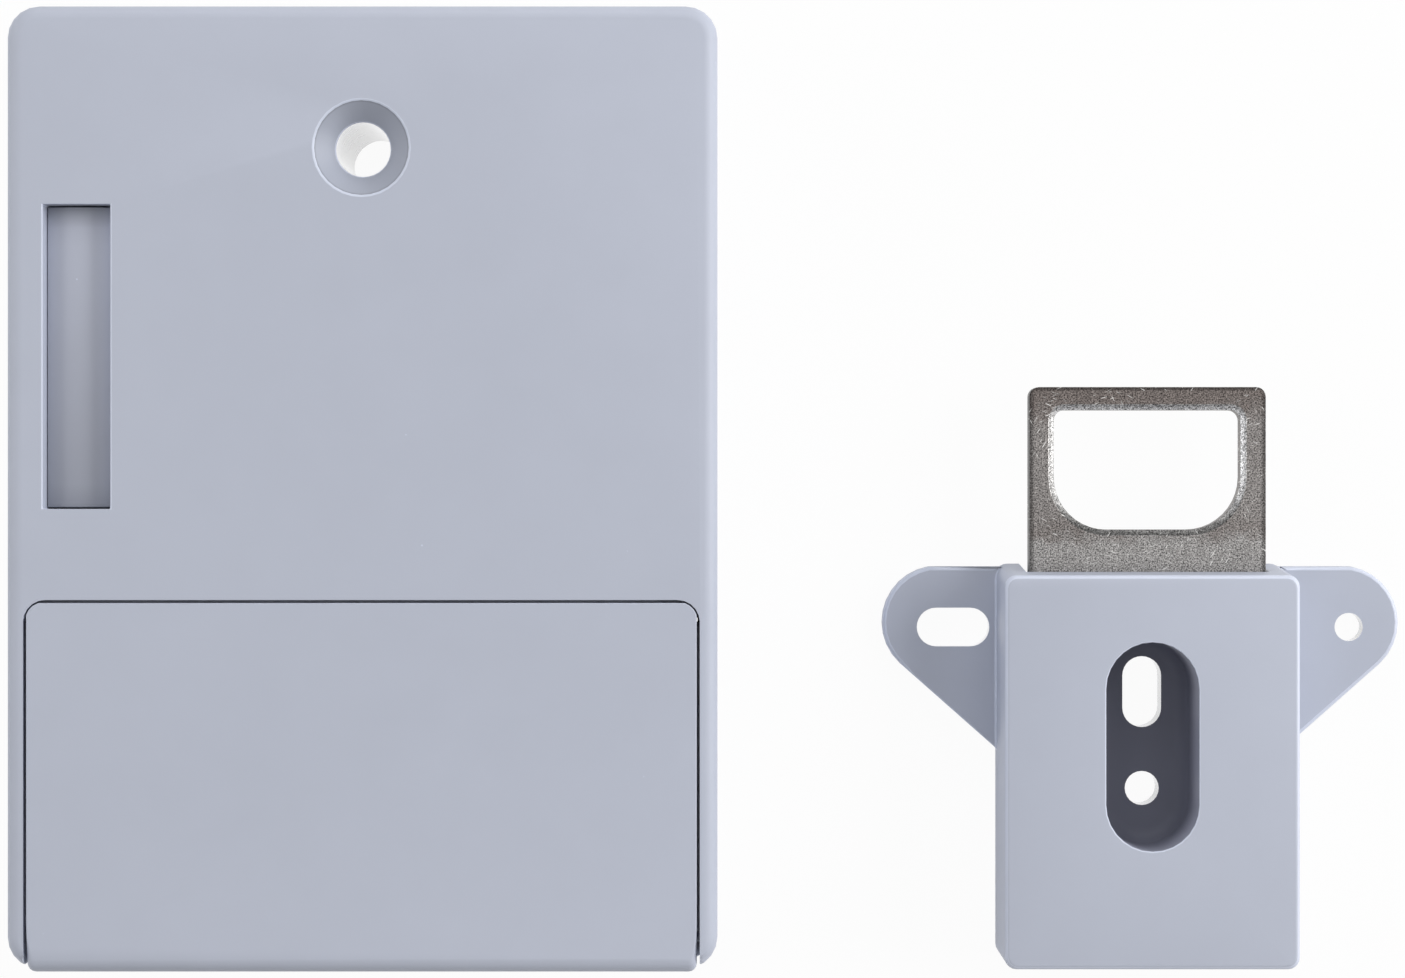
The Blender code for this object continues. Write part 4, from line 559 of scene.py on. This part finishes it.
def soften(node):
    """A copy of a node with its flat areas joined and its sharp edges rounded."""
    mesh, bm = merged(node)
    bmesh.ops.dissolve_limit(bm, angle_limit=FLAT_ANGLE, verts=bm.verts, edges=bm.edges,
                             use_dissolve_boundaries=False)
    if node == "battery_cover":
        corners = [edge for edge in bm.edges if len(edge.link_faces) == 2 and at_cover_corner(edge)]
        bmesh.ops.bevel(bm, geom=corners, offset=COVER_CORNER * MM, segments=CORNER_SEGMENTS, profile=0.5,
                        affect="EDGES")
    width = EDGES.get(node, PLAIN_EDGE)
    special = SPECIAL_EDGES.get(node, [])
    widest = max([width] + [other for test, other in special])
    weight = bm.edges.layers.float.new("bevel_weight_edge")
    for edge in bm.edges:
        if len(edge.link_faces) == 2 and edge.calc_face_angle(0) > SHARP_ANGLE:
            edge[weight] = next((other for test, other in special if test(edge)), width) / widest
    bm.to_mesh(mesh)
    bm.free()
    mesh.materials.clear()
    mesh.materials.append(FINISHES[SLOT_OF[node]])
    for test, material in PAINT.get(node, []):
        mesh.materials.append(material)
        index = len(mesh.materials) - 1
        for face in mesh.polygons:
            if test(face.center, face.normal):
                face.material_index = index
    mesh.shade_smooth()
    mesh.set_sharp_from_angle(angle=SHARP_ANGLE)
    if node == "ejector":
        fill_slot(mesh)
    piece = place_piece(node + "_finished", mesh, node)
    bevel = piece.modifiers.new("soft edges", "BEVEL")
    bevel.width = widest * MM
    bevel.segments = 2
    bevel.limit_method = "WEIGHT"
    bevel.harden_normals = True
    bevel.use_clamp_overlap = node not in EDGES
    if node in EDGE_HIGHLIGHT_BY_NODE:
        mesh.materials.append(EDGE_HIGHLIGHT_BY_NODE[node])
        bevel.material = len(mesh.materials) - 1
    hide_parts(node)


def fill_slot(mesh):
    """Brings the ejector to a close fit in its slot, 6.64 by 30.2 mm, and lowers its crown's fall."""
    low, high = BOX["ejector"]
    place = np.empty(len(mesh.vertices) * 3)
    mesh.vertices.foreach_get("co", place)
    place = place.reshape(-1, 3)
    for axis, factor in enumerate(EJECTOR_STRETCH):
        middle = (low[axis] + high[axis]) / 2
        place[:, axis] = middle + (place[:, axis] - middle) * factor
    crown = place[:, 2] > high[2] - CROWN_HEIGHT * MM
    place[crown, 2] = high[2] - (high[2] - place[crown, 2]) * CROWN_KEPT
    mesh.vertices.foreach_set("co", place.ravel())


def surface(name, node, rows, materials, bands=None):
    """A piece from rows of points that each go round once; a first or last row of no size closes it.

    rows is an array of rows by columns by 3 in metres. bands gives the material of each strip of faces.
    """
    rows = np.asarray(rows)
    count, columns = rows.shape[:2]
    first = np.arange(count - 1)[:, None] * columns
    here = first + np.arange(columns)
    beside = first + (np.arange(columns) + 1) % columns
    faces = np.stack([here, beside, beside + columns, here + columns], axis=2).reshape(-1, 4)
    mesh = bpy.data.meshes.new(name)
    mesh.from_pydata(rows.reshape(-1, 3).tolist(), [], faces.tolist())
    if bands is not None:
        mesh.polygons.foreach_set("material_index", np.repeat(bands, columns).astype(np.int32))
    bm = bmesh.new()
    bm.from_mesh(mesh)
    bmesh.ops.remove_doubles(bm, verts=bm.verts, dist=0.0005 * MM)
    bmesh.ops.recalc_face_normals(bm, faces=bm.faces)
    bm.to_mesh(mesh)
    bm.free()
    for material in materials:
        mesh.materials.append(material)
    mesh.shade_smooth()
    mesh.set_sharp_from_angle(angle=SHARP_ANGLE)
    return place_piece(name, mesh, node)


def turn(profile, centre, columns=40):
    """Rows of points from a (radius, height) profile, turned about an upright axis."""
    angles = np.linspace(0, 2 * math.pi, columns, endpoint=False)
    radius, height = np.array(profile).T
    return np.stack([centre[0] + np.outer(radius, np.cos(angles)),
                     centre[1] + np.outer(radius, np.sin(angles)),
                     np.outer(height, np.ones(columns))], axis=2)


def laid(rows, centre, sign):
    """Upright rows laid along X about a centre, their top towards sign."""
    x, y, z = np.moveaxis(rows, 2, 0)
    return np.stack([centre[0] + sign * z, centre[1] + x, centre[2] + sign * y], axis=2)


def cross_screw(node, head, thick):
    """A screw about Z, head down, with a cross recess and a thread, in millimetres.

    The recess is deepest (1.15 - far / arm) deep where near < slit (1.25 - far / arm): far and near are the
    larger and the smaller of |x| and |y|. The thread is r = shank - thread |2 frac(z / pitch - turn) - 1|,
    faded out under the head and at the tip.
    """
    shank, pitch, thread = 1.2, 0.80, 0.18
    arm, slit, deepest = 1.15, 0.30, 0.9
    low, high = BOX[node]
    centre = ((low[0] + high[0]) / 2, (low[1] + high[1]) / 2)
    length = (high[2] - low[2]) / MM
    columns = 48
    turns = np.linspace(0, 1, columns, endpoint=False)
    cos, sin = np.cos(2 * math.pi * turns), np.sin(2 * math.pi * turns)
    rows = []
    for radius in np.linspace(0, 0.88, 20) * head:
        x, y = np.abs(radius * cos), np.abs(radius * sin)
        wall = np.clip((slit * (1.25 - np.maximum(x, y) / arm) - np.minimum(x, y)) / 0.10, 0, 1)
        deep = deepest * np.clip(1.15 - np.maximum(x, y) / arm, 0, 1) * wall
        rows.append((radius * np.ones(columns), deep + 0.05 * (radius / head) ** 2))
    for radius, height in ((0.95, 0.09), (0.99, 0.16), (1.0, 0.24), (1.0, thick)):
        rows.append((head * radius * np.ones(columns), height * np.ones(columns)))
    run = np.arange(thick, length - shank, pitch / 8)
    for z in run:
        fade = min(1.0, (z - thick) / pitch, (length - shank - z) / pitch)
        wave = np.abs(2 * np.mod(z / pitch - turns, 1.0) - 1)
        rows.append((shank - thread * fade * wave, z * np.ones(columns)))
    rows.append((shank * 0.5 * np.ones(columns), length * np.ones(columns)))
    rows.append((np.zeros(columns), length * np.ones(columns)))
    radius = np.array([row[0] for row in rows]) * MM
    height = np.array([row[1] for row in rows]) * MM
    grid = np.stack([centre[0] + radius * cos, centre[1] + radius * sin, low[2] + height], axis=2)
    piece = surface(node + "_turned", node, grid, [FINISHES["screw_steel"]])
    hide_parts(node)


def dry_cell(node, sign):
    """A cell about X: crimped negative cup, sleeve with folded ends, washer, and a stepped positive nub."""
    low, high = BOX[node]
    centre = (low[0] if sign > 0 else high[0], (low[1] + high[1]) / 2, (low[2] + high[2]) / 2)
    radius = (high[1] - low[1]) / 2 / MM
    length = (high[0] - low[0]) / MM
    body = length - 1.2
    metal, wrap, washer = 0, 1, 2
    steps = [(0.0, 0.10, metal), (2.8, 0.10, metal), (3.3, 0.0, metal), (3.9, 0.0, metal), (4.2, 0.20, metal),
             (4.5, 0.22, wrap), (4.75, 0.05, wrap), (radius - 0.30, 0.04, wrap), (radius - 0.08, 0.14, wrap),
             (radius, 0.40, wrap), (radius, 0.9, wrap)]
    steps += [(radius, z, wrap) for z in np.linspace(2.0, body - 2.0, 9)]
    steps += [(radius, body - 0.9, wrap), (radius, body - 0.40, wrap), (radius - 0.08, body - 0.14, wrap),
              (radius - 0.30, body - 0.04, wrap), (4.6, body - 0.05, wrap), (4.35, body - 0.22, metal),
              (4.1, body - 0.25, metal), (3.95, body - 0.45, washer), (2.9, body - 0.45, washer),
              (2.75, body - 0.30, metal), (2.2, body - 0.25, metal), (2.0, body - 0.05, metal),
              (1.9, body + 0.2, metal), (1.88, body + 0.95, metal), (1.78, body + 1.12, metal),
              (1.55, body + 1.2, metal), (0.0, body + 1.2, metal)]
    profile = [(r * MM, z * MM) for r, z, band in steps]
    grid = laid(turn(profile, (0, 0), 64), centre, sign)
    finishes = [FINISHES["nickel"], FINISHES["cell_wrap"], FINISHES["gear_plastic"]]
    piece = surface(node + "_cell", node, grid, finishes, [band for r, z, band in steps][:-1])
    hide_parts(node)


def contact_coil(node, sign):
    """A conical coil about X, with r = base + (tip - base) t over three turns.

    Its path is (x, y, z) = (wire / 2 + (length - wire) t, r cos 6 pi t, r sin 6 pi t), in a round tube.
    """
    wire, turns, base, tip = 0.5, 3, 3.23, 1.52
    low, high = (np.array(corner) / MM for corner in BOX[node])
    length = high[0] - low[0]
    part = np.linspace(0, 1, turns * 28 + 1)
    angle = 2 * math.pi * turns * part
    radius = base + (tip - base) * part
    out = np.stack([np.zeros(len(part)), np.cos(angle), np.sin(angle)], axis=1)
    path = out * radius[:, None]
    path[:, 0] = wire / 2 + (length - wire) * part
    ahead = np.gradient(path, axis=0)
    ahead /= np.linalg.norm(ahead, axis=1)[:, None]
    out -= ahead * np.sum(out * ahead, axis=1)[:, None]
    out /= np.linalg.norm(out, axis=1)[:, None]
    side = np.cross(ahead, out)
    around = np.linspace(0, 2 * math.pi, 12, endpoint=False)[None, :, None]
    ring = np.cos(around) * out[:, None, :] + np.sin(around) * side[:, None, :]
    rows = path[:, None, :] + ring * wire / 2
    ends = [np.repeat(point[None, None, :], 12, axis=1) for point in (path[0], path[-1])]
    rows = np.concatenate([ends[0], rows, ends[1]])
    rows[..., 0] = low[0] + rows[..., 0] if sign > 0 else high[0] - rows[..., 0]
    rows[..., 1] = (low[1] + high[1]) / 2 + sign * rows[..., 1]
    rows[..., 2] += (low[2] + high[2]) / 2
    piece = surface(node + "_coil", node, rows * MM, [FINISHES["nickel"]])
    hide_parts(node)


def press_spring(node):
    """One of the ejector's springs, as a smooth-shaded copy of its node with the points merged."""
    mesh, bm = merged(node)
    bm.to_mesh(mesh)
    bm.free()
    mesh.materials.clear()
    mesh.materials.append(FINISHES[SLOT_OF[node]])
    mesh.shade_smooth()
    piece = place_piece(node + "_coil", mesh, node)
    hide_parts(node)
    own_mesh(piece)


def make_stage():
    """White table that keeps a faint shadow, and a white surround."""
    size = 3.0
    mesh = bpy.data.meshes.new("table")
    mesh.from_pydata([(-size, -size, 0), (size, -size, 0), (size, size, 0), (-size, size, 0)], [],
                     [(0, 1, 2, 3)])
    table = bpy.data.objects.new("table", mesh)
    bpy.context.scene.collection.objects.link(table)
    material = bpy.data.materials.new("white table")
    material.use_nodes = True
    tree = material.node_tree
    tree.nodes.clear()
    paper = tree.nodes.new("ShaderNodeBsdfDiffuse")
    paper.inputs["Color"].default_value = (0.86, 0.86, 0.86, 1.0)
    glow = tree.nodes.new("ShaderNodeEmission")
    glow.inputs["Color"].default_value = (1.0, 1.0, 1.0, 1.0)
    out = tree.nodes.new("ShaderNodeOutputMaterial")
    tree.links.new(seen_directly(tree, 0.95, paper.outputs[0], glow.outputs[0]), out.inputs["Surface"])
    mesh.materials.append(material)

    world = bpy.data.worlds.new("surround")
    bpy.context.scene.world = world
    world.use_nodes = True
    tree = world.node_tree
    tree.nodes.clear()
    light = tree.nodes.new("ShaderNodeBackground")
    light.inputs["Strength"].default_value = 0.29
    white = tree.nodes.new("ShaderNodeBackground")
    white.inputs["Strength"].default_value = 1.0
    for node in (light, white):
        node.inputs["Color"].default_value = (1.0, 1.0, 1.0, 1.0)
    out = tree.nodes.new("ShaderNodeOutputWorld")
    tree.links.new(seen_directly(tree, 1.0, light.outputs[0], white.outputs[0]), out.inputs["Surface"])


def seen_directly(tree, share, first, second):
    """Mixes in the second shader for what the camera, a gloss or a clear body sees."""
    path = tree.nodes.new("ShaderNodeLightPath")
    most = path.outputs["Is Camera Ray"]
    for name in ("Is Glossy Ray", "Is Transmission Ray"):
        node = tree.nodes.new("ShaderNodeMath")
        node.operation = "MAXIMUM"
        tree.links.new(most, node.inputs[0])
        tree.links.new(path.outputs[name], node.inputs[1])
        most = node.outputs[0]
    part = tree.nodes.new("ShaderNodeMath")
    part.operation = "MULTIPLY"
    part.inputs[1].default_value = share
    blend = tree.nodes.new("ShaderNodeMixShader")
    tree.links.new(most, part.inputs[0])
    tree.links.new(part.outputs[0], blend.inputs[0])
    tree.links.new(first, blend.inputs[1])
    tree.links.new(second, blend.inputs[2])
    return blend.outputs[0]


def area_light(name, place, target, size, watts):
    """A square soft light at a place, aimed at a target."""
    data = bpy.data.lights.new(name, "AREA")
    data.shape = "SQUARE"
    data.size = size
    data.energy = watts
    light = bpy.data.objects.new(name, data)
    light.location = place
    light.rotation_euler = (Vector(target) - Vector(place)).to_track_quat("-Z", "Y").to_euler()
    bpy.context.scene.collection.objects.link(light)


def make_lights():
    """Broad lights low at the right, the left and behind the top edge, and a weak one overhead."""
    area_light("overhead", (0.0, 0.1, 1.0), (0, 0, 0), 0.9, 0.5)
    area_light("right", (0.75, 0.15, 0.42), (0, 0, 0), 0.6, 6.2)
    area_light("left", (-0.75, 0.15, 0.42), (0, 0, 0), 0.6, 2.4)
    area_light("top", (0.05, 0.80, 0.45), (0, 0, 0), 0.6, 2.0)


make_camera()
make_stage()
make_lights()

SPRINGS = ("ejector_spring_lower", "ejector_spring_upper")
CELLS = {"battery_1": 1, "battery_2": -1, "battery_3": 1}
COILS = {"contact_spring_1": 1, "contact_spring_2": -1, "contact_spring_3": 1}
CASE_HEAD = (2.1, 0.4)
STRIKE_HEAD = (2.2, 0.9)
SCREWS = {"case_screw_upper_left": CASE_HEAD, "case_screw_upper_right": CASE_HEAD,
          "case_screw_lower_left": CASE_HEAD, "case_screw_lower_right": CASE_HEAD,
          "strike_screw_left": STRIKE_HEAD, "strike_screw_right": STRIKE_HEAD}
for node in sorted(NODES):
    if node in SPRINGS:
        press_spring(node)
    elif node in CELLS:
        dry_cell(node, CELLS[node])
    elif node in COILS:
        contact_coil(node, COILS[node])
    elif node in SCREWS:
        cross_screw(node, *SCREWS[node])
    else:
        soften(node)

scene = bpy.context.scene
scene.view_settings.view_transform = "Standard"
